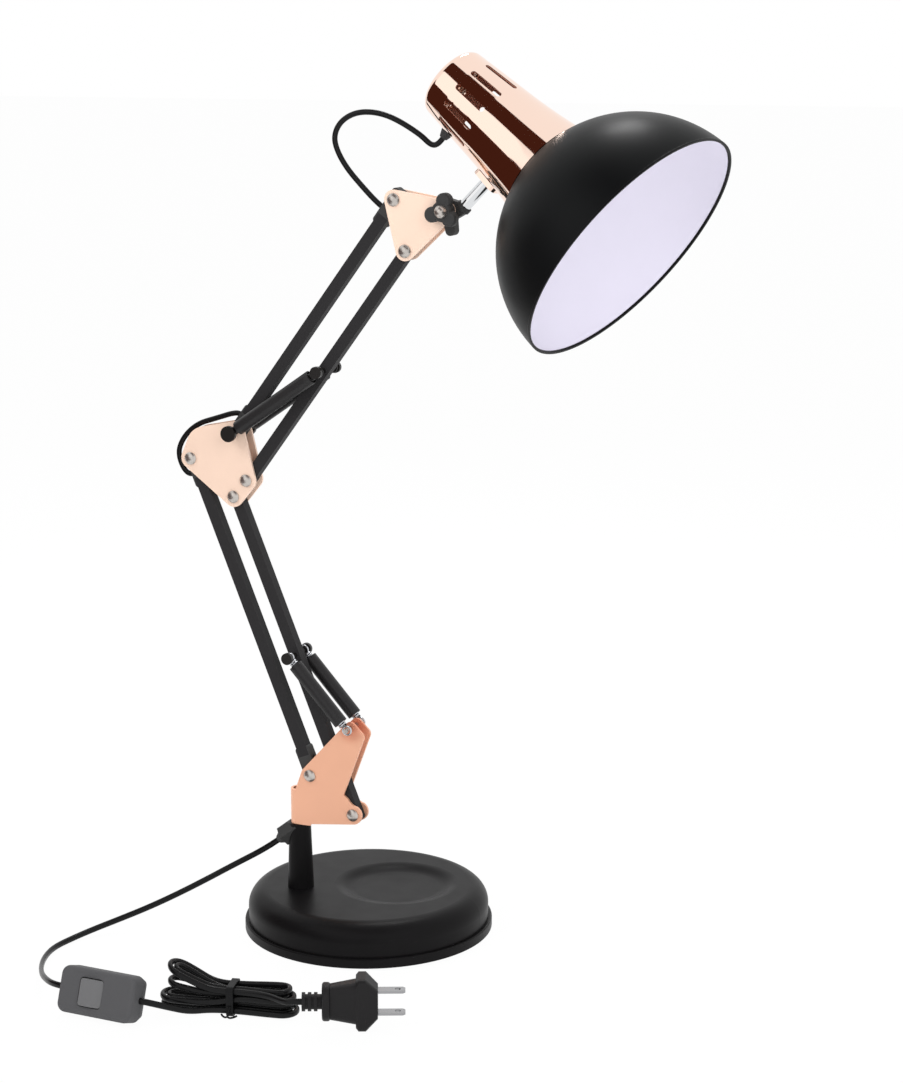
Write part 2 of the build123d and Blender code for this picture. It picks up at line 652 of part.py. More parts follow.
def elbow_outline():
    """Side view of an elbow plate."""
    crown = ELBOW_REAR + Vector(ELBOW_CROWN_X, 0, ELBOW_CROWN_Z)
    outline = hull(disc(ELBOW_REAR, ELBOW_BOSS), disc(ELBOW_FRONT, ELBOW_BOSS), disc(ELBOW_LOW, ELBOW_LOW_BOSS),
                   disc(ELBOW_TOP, ELBOW_LOW_BOSS), disc(crown, ELBOW_CROWN))
    for point in (ELBOW_REAR, ELBOW_FRONT, ELBOW_LOW):
        outline -= disc(point, BOLT_RADIUS + SEAT_GAP)
    return outline - disc(ELBOW_TOP, PIN_DIAMETER / 2 + SEAT_GAP)


def elbow():
    """Two elbow plates, three bolts and the long pin that carries the upper springs."""
    keep("elbow_plate_front", slab(elbow_outline(), -PLATE_OUT, -PLATE_IN))
    keep("elbow_plate_rear", slab(elbow_outline(), PLATE_IN, PLATE_OUT))
    points = (ELBOW_REAR, ELBOW_FRONT, ELBOW_LOW)
    keep("elbow_bolts", group(*[bolt(p) for p in points]))
    keep("elbow_nuts", group(*[bolt_nut(p) for p in points]))
    keep("elbow_spring_pin", spring_pin(ELBOW_TOP, ELBOW_PIN_HEAD_DIAMETER))


def upper_arm():
    """Upper parallelogram: two rods, the spring pin and a sleeved spring on each side."""
    keep("upper_rear_rod", rear_rod(ELBOW_TOP, UPPER_DIRECTION, UPPER_ARM))
    keep("upper_rear_ends", group(fitting(ELBOW_TOP, UPPER_DIRECTION, 1, PIN_DIAMETER / 2 + RUN_CLEARANCE),
                                  fitting(HEAD_REAR, UPPER_DIRECTION * -1, -1, HOLE_RADIUS)))
    inset = PORT_DISTANCE + FITTING_WIDTH
    lead_low = ELBOW_TOP + UPPER_DIRECTION * inset
    keep("upper_lead", along(lead_low, UPPER_DIRECTION, LEAD_RADIUS, UPPER_ARM - 2 * inset))
    keep("upper_front_rod", front_rod(ELBOW_LOW, UPPER_DIRECTION, UPPER_ARM, UPPER_PIN_AT))
    keep("upper_spring_pin", spring_pin(UPPER_PIN, PIN_HEAD_DIAMETER))
    wire, sleeve = spring(ELBOW_TOP, UPPER_PIN)
    keep("upper_springs", mirrored(wire))
    keep("upper_sleeves", mirrored(sleeve))


def head_outline():
    """Side view of a head plate."""
    outline = hull(disc(HEAD_REAR, HEAD_BOSS), disc(HEAD_FRONT, HEAD_BOSS), disc(TILT, HEAD_BOSS))
    for point in (HEAD_REAR, HEAD_FRONT, TILT):
        outline -= disc(point, BOLT_RADIUS + SEAT_GAP)
    return outline


def knob():
    """Three-lobed clamp knob, with a pocket that shows the bolt's domed end."""
    outline = Circle(KNOB_HUB)
    for index in range(KNOB_LOBES):
        angle = KNOB_TURN + 360 / KNOB_LOBES * index
        place = Pos(KNOB_LOBE_REACH * cos(radians(angle)), KNOB_LOBE_REACH * sin(radians(angle)))
        outline += place * Circle(KNOB_LOBE_RADIUS)
    neck = KNOB_HEIGHT * 0.3
    seat = (TILT.X, POST_Y - PLATE_OUT - RUN_CLEARANCE, TILT.Z)
    plane = Plane(origin=seat, x_dir=(1, 0, 0), z_dir=(0, -1, 0))
    solid = extrude(plane.offset(neck) * outline, amount=KNOB_HEIGHT - neck)
    top = solid.faces().sort_by(Axis.Y)[0]
    solid = chamfer(top.edges(), length=KNOB_HEIGHT * 0.12)
    solid += extrude(plane * Circle(KNOB_HUB), amount=KNOB_HEIGHT * 0.6)
    return solid - extrude(plane * Circle(HOLE_RADIUS), amount=KNOB_HEIGHT)


def head_bracket():
    """Two head plates with the arm bolts, the tilt bolt, its knob and the swivel block."""
    keep("head_plate_front", slab(head_outline(), -PLATE_OUT, -PLATE_IN))
    keep("head_plate_rear", slab(head_outline(), PLATE_IN, PLATE_OUT))
    keep("head_bolts", group(*[bolt(p) for p in (HEAD_REAR, HEAD_FRONT)]))
    keep("head_nuts", group(*[bolt_nut(p) for p in (HEAD_REAR, HEAD_FRONT)]))
    reach = PLATE_OUT + KNOB_HEIGHT + RUN_CLEARANCE
    shank = cross_pin(TILT, BOLT_RADIUS, -reach, PLATE_OUT)
    dome = Pos(TILT.X, POST_Y - reach - RUN_CLEARANCE, TILT.Z) * Sphere(BOLT_HEAD_DIAMETER / 2)
    dome &= slab(disc(TILT, BOLT_HEAD_DIAMETER), -reach - BOLT_HEAD_DIAMETER, -reach - RUN_CLEARANCE)
    tip = cross_pin(TILT, BOLT_RADIUS, -reach - RUN_CLEARANCE - 0.5, -reach)
    hexagon = flat(TILT) * RegularPolygon(NUT_WIDTH / 2, 6, major_radius=False)
    back = slab(hexagon, PLATE_OUT, PLATE_OUT + NUT_HEIGHT)
    keep("tilt_bolt", shank + tip + dome + back)
    keep("tilt_knob", knob())
    cup_start = STEM_FOOT + STEM_DIRECTION * STEM_CUP_START
    lug = disc(TILT + heading(BLOCK_LUG_ANGLE) * BLOCK_LUG_REACH, BLOCK_LUG_RADIUS)
    tongue_outline = hull(disc(TILT, BLOCK_RADIUS), disc(cup_start, STEM_CUP_DIAMETER / 2 - 1))
    tongue_outline += hull(disc(TILT, BLOCK_LUG_RADIUS * 1.4), lug)
    tongue = slab(tongue_outline, -ROD_WIDTH / 2, ROD_WIDTH / 2)
    block = tongue - slab(disc(TILT, HOLE_RADIUS), -ROD_WIDTH, ROD_WIDTH)
    block += along(cup_start, STEM_DIRECTION, STEM_CUP_DIAMETER / 2, STEM_CUP_LENGTH)
    stem_room = STEM_CUP_START + STEM_CUP_FLOOR
    stem_start = STEM_FOOT + STEM_DIRECTION * stem_room
    block -= along(stem_start, STEM_DIRECTION, STEM_DIAMETER / 2 + SEAT_GAP, STEM_LENGTH)
    keep("tilt_block", block)
    stem = along(stem_start, STEM_DIRECTION, STEM_DIAMETER / 2, STEM_LENGTH - stem_room)
    tip_length = STEM_REACH - STEM_LENGTH - SOCKET_MOUTH_RADIUS + STEM_TIP_DEPTH
    stem += along(STEM_FOOT + STEM_DIRECTION * STEM_LENGTH, STEM_DIRECTION, STEM_TIP_DIAMETER / 2, tip_length)
    keep("stem", stem)


def shade_plane():
    """The shade's own frame: Z runs from the rim to the back, X points to the stem."""
    towards = STEM_DIRECTION * -1
    return Plane(origin=SHADE_CENTRE, x_dir=towards - SHADE_BACK * towards.dot(SHADE_BACK), z_dir=SHADE_BACK)


def sphere_station(radius, inset=0.0):
    """How far behind the rim the shade's sphere has a given radius."""
    return SHADE_SPHERE_STATION + sqrt((SHADE_RADIUS - inset) ** 2 - radius ** 2)


def shade_shell():
    """Spun dome, a little less than half a sphere, with a hole for the lamp holder."""
    hole = HOLDER_RADIUS + SEAT_GAP
    inner = SHADE_RADIUS - SHADE_WALL
    slant = cos(radians(45))
    rim_out = sqrt(SHADE_RADIUS ** 2 - SHADE_SPHERE_STATION ** 2)
    rim_in = sqrt(inner ** 2 - SHADE_SPHERE_STATION ** 2)
    points = [(rim_in, 0), (rim_out, 0), (hole, sphere_station(hole)), (hole, sphere_station(hole, SHADE_WALL))]
    middle_out = (SHADE_RADIUS * slant, SHADE_SPHERE_STATION + SHADE_RADIUS * slant)
    middle_in = (inner * slant, SHADE_SPHERE_STATION + inner * slant)
    return turned(points, [(1, middle_out), (3, middle_in)])


def socket_profile(inset):
    """Half outline of the socket cover, moved in by a wall."""
    mouth = SOCKET_MOUTH_RADIUS - inset
    waist = SOCKET_WAIST_RADIUS - inset
    end = SOCKET_END_RADIUS - inset
    edge = SOCKET_EDGE - inset
    top = SOCKET_LENGTH - inset
    start = sphere_station(SOCKET_MOUTH_RADIUS - SOCKET_WALL) + SEAT_GAP
    bend = edge * (1 - cos(radians(45)))
    middle = ((mouth + waist) / 2 - 0.5, (start + SOCKET_WAIST_STATION) / 2)
    points = [(0, start), (mouth, start), (waist, SOCKET_WAIST_STATION), (end, top - edge), (end - edge, top),
              (0, top)]
    return turned(points, [(1, middle), (3, (end - bend, top - bend))])


def socket_radius(station):
    """The socket cover's outer radius on its straight taper."""
    share = (station - SOCKET_WAIST_STATION) / (SOCKET_LENGTH - SOCKET_EDGE - SOCKET_WAIST_STATION)
    return SOCKET_WAIST_RADIUS + (SOCKET_END_RADIUS - SOCKET_WAIST_RADIUS) * share


def stem_in_shade():
    """The stem's line in the shade's own frame: its point on the axis and its way out."""
    plane = shade_plane()
    way = plane.to_local_coords(STEM_END - STEM_DIRECTION) - plane.to_local_coords(STEM_END)
    return plane.to_local_coords(STEM_END), way


def lamp_holder():
    """Moulded lamp holder with a mounting flange inside the cover."""
    face = HOLDER_FACE
    top = face + HOLDER_LENGTH
    seat = sphere_station(HOLDER_RADIUS) + SIDE_GAP
    rim = SOCKET_MOUTH_RADIUS - SOCKET_WALL - 3.2
    bore = SHELL_BORE / 2 + SHELL_WALL + SEAT_GAP
    points = [(bore, face), (HOLDER_RADIUS, face), (HOLDER_RADIUS, seat), (rim, seat + 1.0),
              (rim, seat + FLANGE_LIP), (rim - FLANGE_THICKNESS, seat + FLANGE_LIP),
              (rim - FLANGE_THICKNESS, seat + FLANGE_THICKNESS),
              (HOLDER_RADIUS, seat + FLANGE_THICKNESS), (HOLDER_RADIUS, top), (LEAD_DIAMETER, top),
              (LEAD_DIAMETER, face + HOLDER_WELL), (bore, face + HOLDER_WELL)]
    return turned(points)


def head():
    """Shade, socket cover, lamp holder and the bracket that turns on the stem."""
    place = shade_plane()
    keep("shade", place * shade_shell())
    foot, way = stem_in_shade()
    shell = socket_profile(0) - socket_profile(SOCKET_WALL)
    vent = Pos(0, 0, VENT_STATION) * extrude(
        Plane.YZ * SlotOverall(VENT_LENGTH, VENT_WIDTH, rotation=90), amount=SOCKET_MOUTH_RADIUS * 2)
    for index in range(VENTS):
        shell -= Rot(0, 0, 360 / VENTS * (index + 0.5)) * vent
    stem_hole = along(foot, way, STEM_TIP_DIAMETER / 2 + RUN_CLEARANCE, SOCKET_MOUTH_RADIUS * 2)
    bush_seat = Pos(0, 0, BUSH_STATION) * extrude(
        Plane.YZ * Circle(BUSH_DIAMETER / 2), amount=SOCKET_MOUTH_RADIUS * 2)
    keep("socket_cover", place * (shell - stem_hole - bush_seat))
    bracket_plane = Plane(origin=foot, x_dir=(0, 0, 1), z_dir=way)
    bracket = extrude(bracket_plane * RectangleRounded(BRACKET_LENGTH, BRACKET_WIDTH, BRACKET_WIDTH * 0.3),
                      amount=STEM_REACH - STEM_LENGTH - SIDE_GAP)
    keep("stem_bracket", place * (bracket - socket_profile(-SEAT_GAP) - stem_hole))
    keep("lamp_holder", place * lamp_holder())
    shell_base = Pos(0, 0, HOLDER_FACE + 2)
    sleeve = Circle(SHELL_BORE / 2 + SHELL_WALL) - Circle(SHELL_BORE / 2)
    keep("screw_shell", place * (shell_base * extrude(sleeve, amount=SHELL_LENGTH)))
    contact_base = Pos(0, 0, HOLDER_FACE + HOLDER_WELL - CONTACT_HEIGHT)
    contact = extrude(Circle(CONTACT_DIAMETER / 2), amount=CONTACT_HEIGHT)
    keep("centre_contact", place * (contact_base * contact))
    ring_out = HOLDER_RADIUS + SEAT_GAP + RING_WIDTH
    ring_top = sphere_station(ring_out, SHADE_WALL) - SEAT_GAP
    ring_face = Circle(ring_out) - Circle(HOLDER_RADIUS + SEAT_GAP)
    keep("shade_ring", place * (Pos(0, 0, ring_top - RING_HEIGHT) * extrude(ring_face, amount=RING_HEIGHT)))
    bush_out = socket_radius(BUSH_STATION)
    bush_plane = Plane.YZ.offset(bush_out - SOCKET_WALL - 1)
    bush = extrude(bush_plane * Circle(BUSH_DIAMETER / 2 - SEAT_GAP), amount=SOCKET_WALL + 1)
    bush += loft([Plane.YZ.offset(bush_out) * Circle(BUSH_DIAMETER / 2 - SEAT_GAP),
                  Plane.YZ.offset(bush_out + BUSH_LENGTH) * Circle(LEAD_RADIUS + 0.8)])
    keep("cord_bush", place * (Pos(0, 0, BUSH_STATION) * bush))


def split_route(points, cuts):
    """Cut a route in the middle of some of its straight runs."""
    pieces = []
    begin = []
    first = 0
    for cut in cuts:
        middle = (points[cut] + points[cut + 1]) * 0.5
        pieces.append(begin + points[first:cut + 1] + [middle])
        begin = [middle]
        first = cut + 1
    pieces.append(begin + points[first:])
    return pieces


def fork_route():
    """The lead's way from the spigot into the lower rear rod."""
    mouth, way = port(FORK_REAR, LOWER_DIRECTION, -1)
    low = arm(0, SPIGOT_TOP)
    return [low, low + Vector(0, 0, 4), low + Vector(4.5, 0, 8), FORK_REAR + Vector(4.5, 0, -11.0),
            FORK_REAR + Vector(10.6, 0, -6.4), FORK_REAR + Vector(10.4, 0, 2.4), mouth + way * 5.0, mouth]


def elbow_route():
    """The lead's open loop behind the elbow, from the upper rod to the lower rod."""
    upper, upper_way = port(ELBOW_TOP, UPPER_DIRECTION, 1)
    lower, lower_way = port(ELBOW_REAR, LOWER_DIRECTION * -1, -1)
    loop = [(15.0, 24.2), (2.4, 20.2), (-7.2, 11.8), (-11.8, 1.0)]
    points = [upper, upper + upper_way * 2.6]
    points += [ELBOW_REAR + Vector(x, 0, z) for x, z in loop]
    return points + [lower + lower_way * 5.0, lower]


def head_route():
    """The lead's open loop at the head, from the upper rod to the bush in the socket cover."""
    mouth, way = port(HEAD_REAR, UPPER_DIRECTION * -1, -1)
    place = shade_plane()
    bush_tip = place.from_local_coords(Vector(socket_radius(BUSH_STATION) + BUSH_LENGTH, 0, BUSH_STATION))
    bush_way = place.x_dir
    loop = [(-21.4, 6.7), (-30.6, 16.4), (-36.8, 26.4), (-38.6, 34.6), (-34.4, 42.6), (-25.4, 47.6),
            (-14.0, 48.2), (-2.0, 45.2)]
    points = [mouth, mouth + way * 5.0]
    points += [HEAD_REAR + Vector(x, 0, z) for x, z in loop]
    return points + [bush_tip + bush_way * 6.0 + Vector(-4.0, 0, 4.0), bush_tip + bush_way * 5.0, bush_tip]


def arm_leads():
    """The lead's open loops at the fork, the elbow and the head."""
    keep("fork_lead", tube("fork_lead", fork_route(), LEAD_RADIUS))
    names = ("elbow_lead_upper", "elbow_lead_lower")
    for name, points in zip(names, split_route(elbow_route(), [3])):
        keep(name, tube(name, points, LEAD_RADIUS))
    names = ("head_lead_lower", "head_lead_middle", "head_lead_upper")
    for name, points in zip(names, split_route(head_route(), [4, 8])):
        keep(name, tube(name, points, LEAD_RADIUS))


def switch_plane():
    """The switch's frame: X along it, Z out of its face, which leans back a little."""
    yaw = radians(SWITCH_YAW)
    lean = radians(SWITCH_LEAN)
    split = SWITCH_FRONT_DEPTH - SWITCH_DEPTH / 2
    height = SWITCH_HEIGHT / 2 * cos(lean) + split * sin(lean) + FLOOR_GAP
    face = (sin(yaw) * cos(lean), -cos(yaw) * cos(lean), sin(lean))
    return Plane(origin=(SWITCH_X, SWITCH_Y, height), x_dir=(cos(yaw), sin(yaw), 0), z_dir=face)


def switch_end(side):
    """The middle of one end of the switch."""
    return switch_plane().from_local_coords(Vector(side * SWITCH_LENGTH / 2, 0, 0))


def cord_switch():
    """Two moulded halves and the rocker between them."""
    plane = switch_plane()
    back = -SWITCH_DEPTH / 2
    split = SWITCH_DEPTH / 2 - SWITCH_FRONT_DEPTH
    outline = RectangleRounded(SWITCH_LENGTH, SWITCH_HEIGHT, SWITCH_CORNER)
    taper = 2 * (split - back) * tan(radians(SWITCH_LEAN))
    rear_face = RectangleRounded(SWITCH_LENGTH - taper, SWITCH_HEIGHT - taper, SWITCH_CORNER - taper / 2)
    rear_half = loft([Pos(0, 0, back) * rear_face, Pos(0, 0, split - SEAT_GAP) * outline], ruled=True)
    front_half = extrude(Pos(0, 0, split) * outline, amount=SWITCH_FRONT_DEPTH)
    front_half = fillet(front_half.faces().sort_by(Axis.Z)[-1].edges(), radius=SWITCH_EDGE)
    room = 2 * ROCKER_GAP
    floor = SWITCH_DEPTH / 2 + ROCKER_PROUD - ROCKER_THICKNESS - ROCKER_WIDTH * 0.2
    well_outline = RectangleRounded(ROCKER_LENGTH + room, ROCKER_WIDTH + room, ROCKER_CORNER + ROCKER_GAP)
    well = Pos(ROCKER_SHIFT, 0, floor) * extrude(well_outline, amount=SWITCH_DEPTH)
    pin_height = SWITCH_DEPTH / 2 + ROCKER_PROUD - ROCKER_THICKNESS
    pin_length = ROCKER_WIDTH + room + 3
    pin_bore = Plane.XZ * Circle(ROCKER_PIN + RUN_CLEARANCE)
    pin_room = Pos(ROCKER_SHIFT, 0, pin_height) * extrude(pin_bore, amount=pin_length / 2 + 0.3, both=True)
    keep("switch_rear", plane * rear_half)
    keep("switch_front", plane * (front_half - well - pin_room))
    arch = ROCKER_LENGTH / 2
    rise = ROCKER_THICKNESS * 0.28
    with BuildLine() as line:
        edge = ROCKER_THICKNESS - rise
        ThreePointArc((-arch, edge), (0, ROCKER_THICKNESS), (arch, edge))
        Polyline((arch, edge), (arch * 0.86, -ROCKER_PIN), (-arch * 0.86, -ROCKER_PIN), (-arch, edge))
    rocker = extrude(Plane.XZ * make_face(line.line), amount=ROCKER_WIDTH / 2, both=True)
    rocker_outline = RectangleRounded(ROCKER_LENGTH, ROCKER_WIDTH, ROCKER_CORNER)
    rocker &= extrude(rocker_outline, amount=SWITCH_DEPTH, both=True)
    rocker += extrude(Plane.XZ * Circle(ROCKER_PIN), amount=pin_length / 2, both=True)
    keep("switch_rocker", plane * (Pos(ROCKER_SHIFT, 0, pin_height) * (Rot(0, ROCKER_TILT, 0) * rocker)))


def supply_cord():
    """The free cord from the gland to the switch, along points chosen by hand."""
    start, direction = gland_axis()
    tip = start + direction * (GLAND_LENGTH + GLAND_NOSE)
    end = switch_end(-1)
    way = switch_plane().x_dir
    lying = CORD_RADIUS + FLOOR_GAP
    points = [tip, tip + direction * 11.0, (-78.6, -25.2, 35.6), (-92.9, -33.2, 27.2), (-107.9, -43.5, 19.0),
              (-122.3, -55.2, 12.2), (-135.6, -68.0, 7.2), (-146.2, -81.2, 3.8), (-152.9, -95.2, lying),
              (-155.2, -110.2, lying), (-152.2, -125.0, lying + 0.4), (-145.4, -140.2, lying + 1.6),
              (-136.0, -155.4, lying + 4.2), (-125.4, -169.2, lying + 7.8), end - way * 9.0, end]
    keep("supply_cord", tube("supply_cord", [Vector(*p) for p in points], CORD_RADIUS))


def hank_plane():
    """The hank's frame: X along its runs, on the surface that it lies on."""
    yaw = radians(HANK_YAW)
    return Plane(origin=(HANK_X, HANK_Y, 0), x_dir=(cos(yaw), sin(yaw), 0), z_dir=(0, 0, 1))


def hank_layer(index):
    """Height of one layer of the hank, which lies on its tie."""
    return TIE_THICKNESS + TIE_GAP + FLOOR_GAP + CORD_RADIUS + HANK_PITCH * index


def hank_runs():
    """Each run's side and its height at both ends; even runs lie near and go right."""
    offsets = [HANK_INNER + HANK_PITCH / 2 * step for step in range(4)]
    order = [3, 2, 1, 0, 1, 2, 3, 2, 1, 0, 1, 2, 3]
    climbs = {3: 1, 6: 1, 9: 1}
    runs = []
    layer = 0
    for index, step in enumerate(order):
        side = -1 if index % 2 == 0 else 1
        after = layer + climbs.get(index, 0)
        runs.append((side * offsets[step], hank_layer(layer), hank_layer(after)))
        layer = after
    return runs


def hank_reach(level, right):
    """How far a run's straight part goes from the tie: each layer ends a little short of the one below."""
    layer = (level - hank_layer(0)) / HANK_PITCH
    return HANK_HALF_RUN - layer * (HANK_RIGHT_STEP if right else HANK_LEFT_STEP)


def hank_slope(level):
    """How steeply a layer's left end rises: the loose turns fan out from the tie."""
    layer = (level - hank_layer(0)) / HANK_PITCH
    return HANK_LIFT * layer ** 2 / (HANK_HALF_RUN - HANK_WAIST_HALF)


def hank_run_points(side, low, high, forward):
    """One run: straight, drawn in at the waist, straight, and climbing at the waist."""
    drawn = side - HANK_WAIST if side > 0 else side + HANK_WAIST
    left, right = (low, high) if forward else (high, low)
    left_end = hank_reach(left, False)
    right_end = hank_reach(right, True)
    rise = hank_slope(left)
    places = [(-left_end, side, left + rise * (left_end - HANK_WAIST_HALF)),
              (HANK_LEAD - left_end, side, left + rise * (left_end - HANK_LEAD - HANK_WAIST_HALF)),
              (-HANK_WAIST_HALF, drawn, left), (HANK_WAIST_HALF, drawn, right),
              (right_end - HANK_LEAD, side, right), (right_end, side, right)]
    return places if forward else places[::-1]


def hank_turn(side, other, level, right):
    """The round turn between two runs, in the slope of its layer."""
    end = hank_reach(level, right)
    rise = 0.0 if right else hank_slope(level)
    way = 1 if right else -1
    height = level + rise * (end - HANK_WAIST_HALF)
    bulge = abs(side - other) / 2 / sqrt(1 + rise ** 2)
    middle = (way * (end + bulge), (side + other) / 2, height + rise * bulge)
    return ThreePointArc((way * end, side, height), middle, (way * end, other, height)).edge()


def plug_plane():
    """The plug's frame: Z runs from the cord to the blades, X is level and Y points up."""
    shift = hank_runs()[-1][0] - PLUG_SHIFT
    start = hank_plane().from_local_coords(Vector(HANK_HALF_RUN + PLUG_GAP, shift, PLUG_HEIGHT))
    yaw = radians(PLUG_YAW)
    return Plane(origin=start, x_dir=(sin(yaw), -cos(yaw), 0), z_dir=(cos(yaw), sin(yaw), 0))


def smooth_run(points, share=0.4):
    """Edges of one open route with its corners rounded."""
    return FilletPolyline(*points, radius=fillet_radii(points, share)).edges()


def least_gap(points, spacing, width):
    """The least room between stretches of one cord that aren't neighbours along it."""
    skip = int(width * 2.2 / spacing) + 1
    least = 1e9
    for index, here in enumerate(points):
        for other in points[index + skip:]:
            least = min(least, hypot(here.X - other.X, here.Y - other.Y, here.Z - other.Z))
    return least - width


def cord_hank():
    """The folded cord from the switch to the plug, one unbroken tube, and its tie."""
    plane = hank_plane()
    runs = hank_runs()
    start = plane.to_local_coords(switch_end(1))
    way_in = plane.to_local_coords(switch_end(1) + switch_plane().x_dir) - start
    plug = plug_plane()
    finish = plane.to_local_coords(plug.origin)
    way_out = plane.to_local_coords(plug.origin + plug.z_dir) - finish
    edges = []
    for index, (side, low, high) in enumerate(runs):
        points = [Vector(*p) for p in hank_run_points(side, low, high, index % 2 == 0)]
        if index == 0:
            points = [start, start + way_in * 4.0,
                      Vector(3.0 - HANK_HALF_RUN, side - HANK_PITCH * 1.8, low + HANK_PITCH * 0.8),
                      Vector(12.0 - HANK_HALF_RUN, side - HANK_PITCH * 0.8, low)] + points[2:]
        if index == len(runs) - 1:
            beyond = Vector(HANK_HALF_RUN + 4.0, side - PLUG_SHIFT, high)
            points = points[:-1] + [beyond, finish - way_out * 7.0, finish]
        edges += smooth_run(points)
        if index < len(runs) - 1:
            other, level, _ = runs[index + 1]
            edges += [hank_turn(side, other, level, index % 2 == 0)]
    path = Wire(edges)
    solid = cord_along("cord_hank", path, CORD_RADIUS)
    count = int(path.length / SAMPLE_STEP)
    samples = [path @ (index / count) for index in range(count + 1)]
    print("cord_hank least gap", round(least_gap(samples, SAMPLE_STEP, CORD_DIAMETER), 2))
    keep("cord_hank", plane * solid)
    near = min(side for side, _, _ in runs) + HANK_WAIST - CORD_RADIUS - TIE_GAP
    far = max(side for side, _, _ in runs) - HANK_WAIST + CORD_RADIUS + TIE_GAP
    low = TIE_THICKNESS
    high = hank_layer(3) + CORD_RADIUS + TIE_GAP
    middle = Plane(origin=(TIE_AT, (near + far) / 2, (low + high) / 2), x_dir=(0, 1, 0), z_dir=(1, 0, 0))
    inner = RectangleRounded(far - near, high - low, CORD_RADIUS)
    grown = 2 * TIE_THICKNESS
    outer = RectangleRounded(far - near + grown, high - low + grown, CORD_RADIUS + TIE_THICKNESS)
    keep("hank_tie", plane * extrude(middle * (outer - inner), amount=TIE_WIDTH / 2, both=True))


def plug():
    """Moulded two-blade plug with a ribbed relief, a collar and finger grips."""
    plane = plug_plane()
    relief = extrude(Circle(PLUG_RELIEF_RADIUS * 0.8), amount=PLUG_RELIEF_LENGTH + 1)
    pitch = PLUG_RELIEF_LENGTH / PLUG_RIBS
    for index in range(PLUG_RIBS):
        relief += Pos(0, 0, pitch * index) * extrude(Circle(PLUG_RELIEF_RADIUS), amount=pitch * 0.55)
    collar_low = PLUG_RELIEF_LENGTH + 1
    collar_outline = RectangleRounded(PLUG_BODY_DEPTH, 2 * PLUG_COLLAR_RADIUS, PLUG_BODY_DEPTH * 0.45)
    collar = extrude(collar_outline, amount=PLUG_COLLAR)
    levels = collar.edges().group_by(Axis.Z)
    collar = fillet(levels[0] + levels[-1], radius=PLUG_COLLAR_EDGE)
    body_low = collar_low + PLUG_COLLAR
    front = body_low + PLUG_BODY_LENGTH
    sections = [Pos(0, 0, body_low) * RectangleRounded(PLUG_BODY_DEPTH - 3, PLUG_BODY_WIDTH - 5, 4),
                Pos(0, 0, front - PLUG_FLANGE) * RectangleRounded(PLUG_BODY_DEPTH, PLUG_BODY_WIDTH, 5)]
    body = loft(sections, ruled=True)
    widest = RectangleRounded(PLUG_BODY_DEPTH + 2, PLUG_FLANGE_WIDTH, PLUG_CORNER)
    neck = RectangleRounded(PLUG_BODY_DEPTH, PLUG_FLANGE_WIDTH - 3, PLUG_CORNER)
    tip = RectangleRounded(PLUG_BODY_DEPTH - 1, PLUG_FLANGE_WIDTH - 2 * PLUG_CHAMFER, PLUG_CORNER)
    flange = loft([Pos(0, 0, front - PLUG_FLANGE) * neck, Pos(0, 0, front - PLUG_FLANGE * 0.88) * widest,
                   Pos(0, 0, front - PLUG_CHAMFER) * widest, Pos(0, 0, front) * tip], ruled=True)
    slots = []
    blades = []
    for side in (-1, 1):
        place = Pos(0, side * BLADE_SPACING / 2, front - PLUG_FLANGE)
        slots.append(place * Box(BLADE_WIDTH + 2 * SEAT_GAP, BLADE_THICKNESS + 2 * SEAT_GAP, PLUG_FLANGE * 2,
                                 align=(Align.CENTER, Align.CENTER, Align.MIN)))
        blade = place * Box(BLADE_WIDTH, BLADE_THICKNESS, PLUG_FLANGE + BLADE_LENGTH,
                            align=(Align.CENTER, Align.CENTER, Align.MIN))
        blade = chamfer(blade.edges().filter_by(Axis.Y).group_by(Axis.Z)[-1], length=BLADE_WIDTH * 0.22)
        hole = Pos(0, side * BLADE_SPACING / 2, front + BLADE_LENGTH - BLADE_HOLE * 1.3)
        drill = extrude(Plane.XZ * Circle(BLADE_HOLE / 2), amount=BLADE_THICKNESS * 2, both=True)
        blades.append(blade - hole * drill)
    solid = relief + Pos(0, 0, collar_low) * collar + body + flange
    for slot in slots:
        solid -= slot
    keep("plug_body", plane * solid)
    keep("plug_blades", plane * group(*blades))


base()
post()
fork()
lower_arm()
elbow()
upper_arm()
head_bracket()
head()
arm_leads()
cord_switch()
supply_cord()
cord_hank()
plug()
print(len(PIECES), "nodes")
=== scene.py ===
"""Architect lamp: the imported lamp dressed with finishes, cords and small fittings for a studio picture."""

import json
import logging
import math
from dataclasses import dataclass, field
from enum import Enum

import bpy
from mathutils import Matrix, Vector

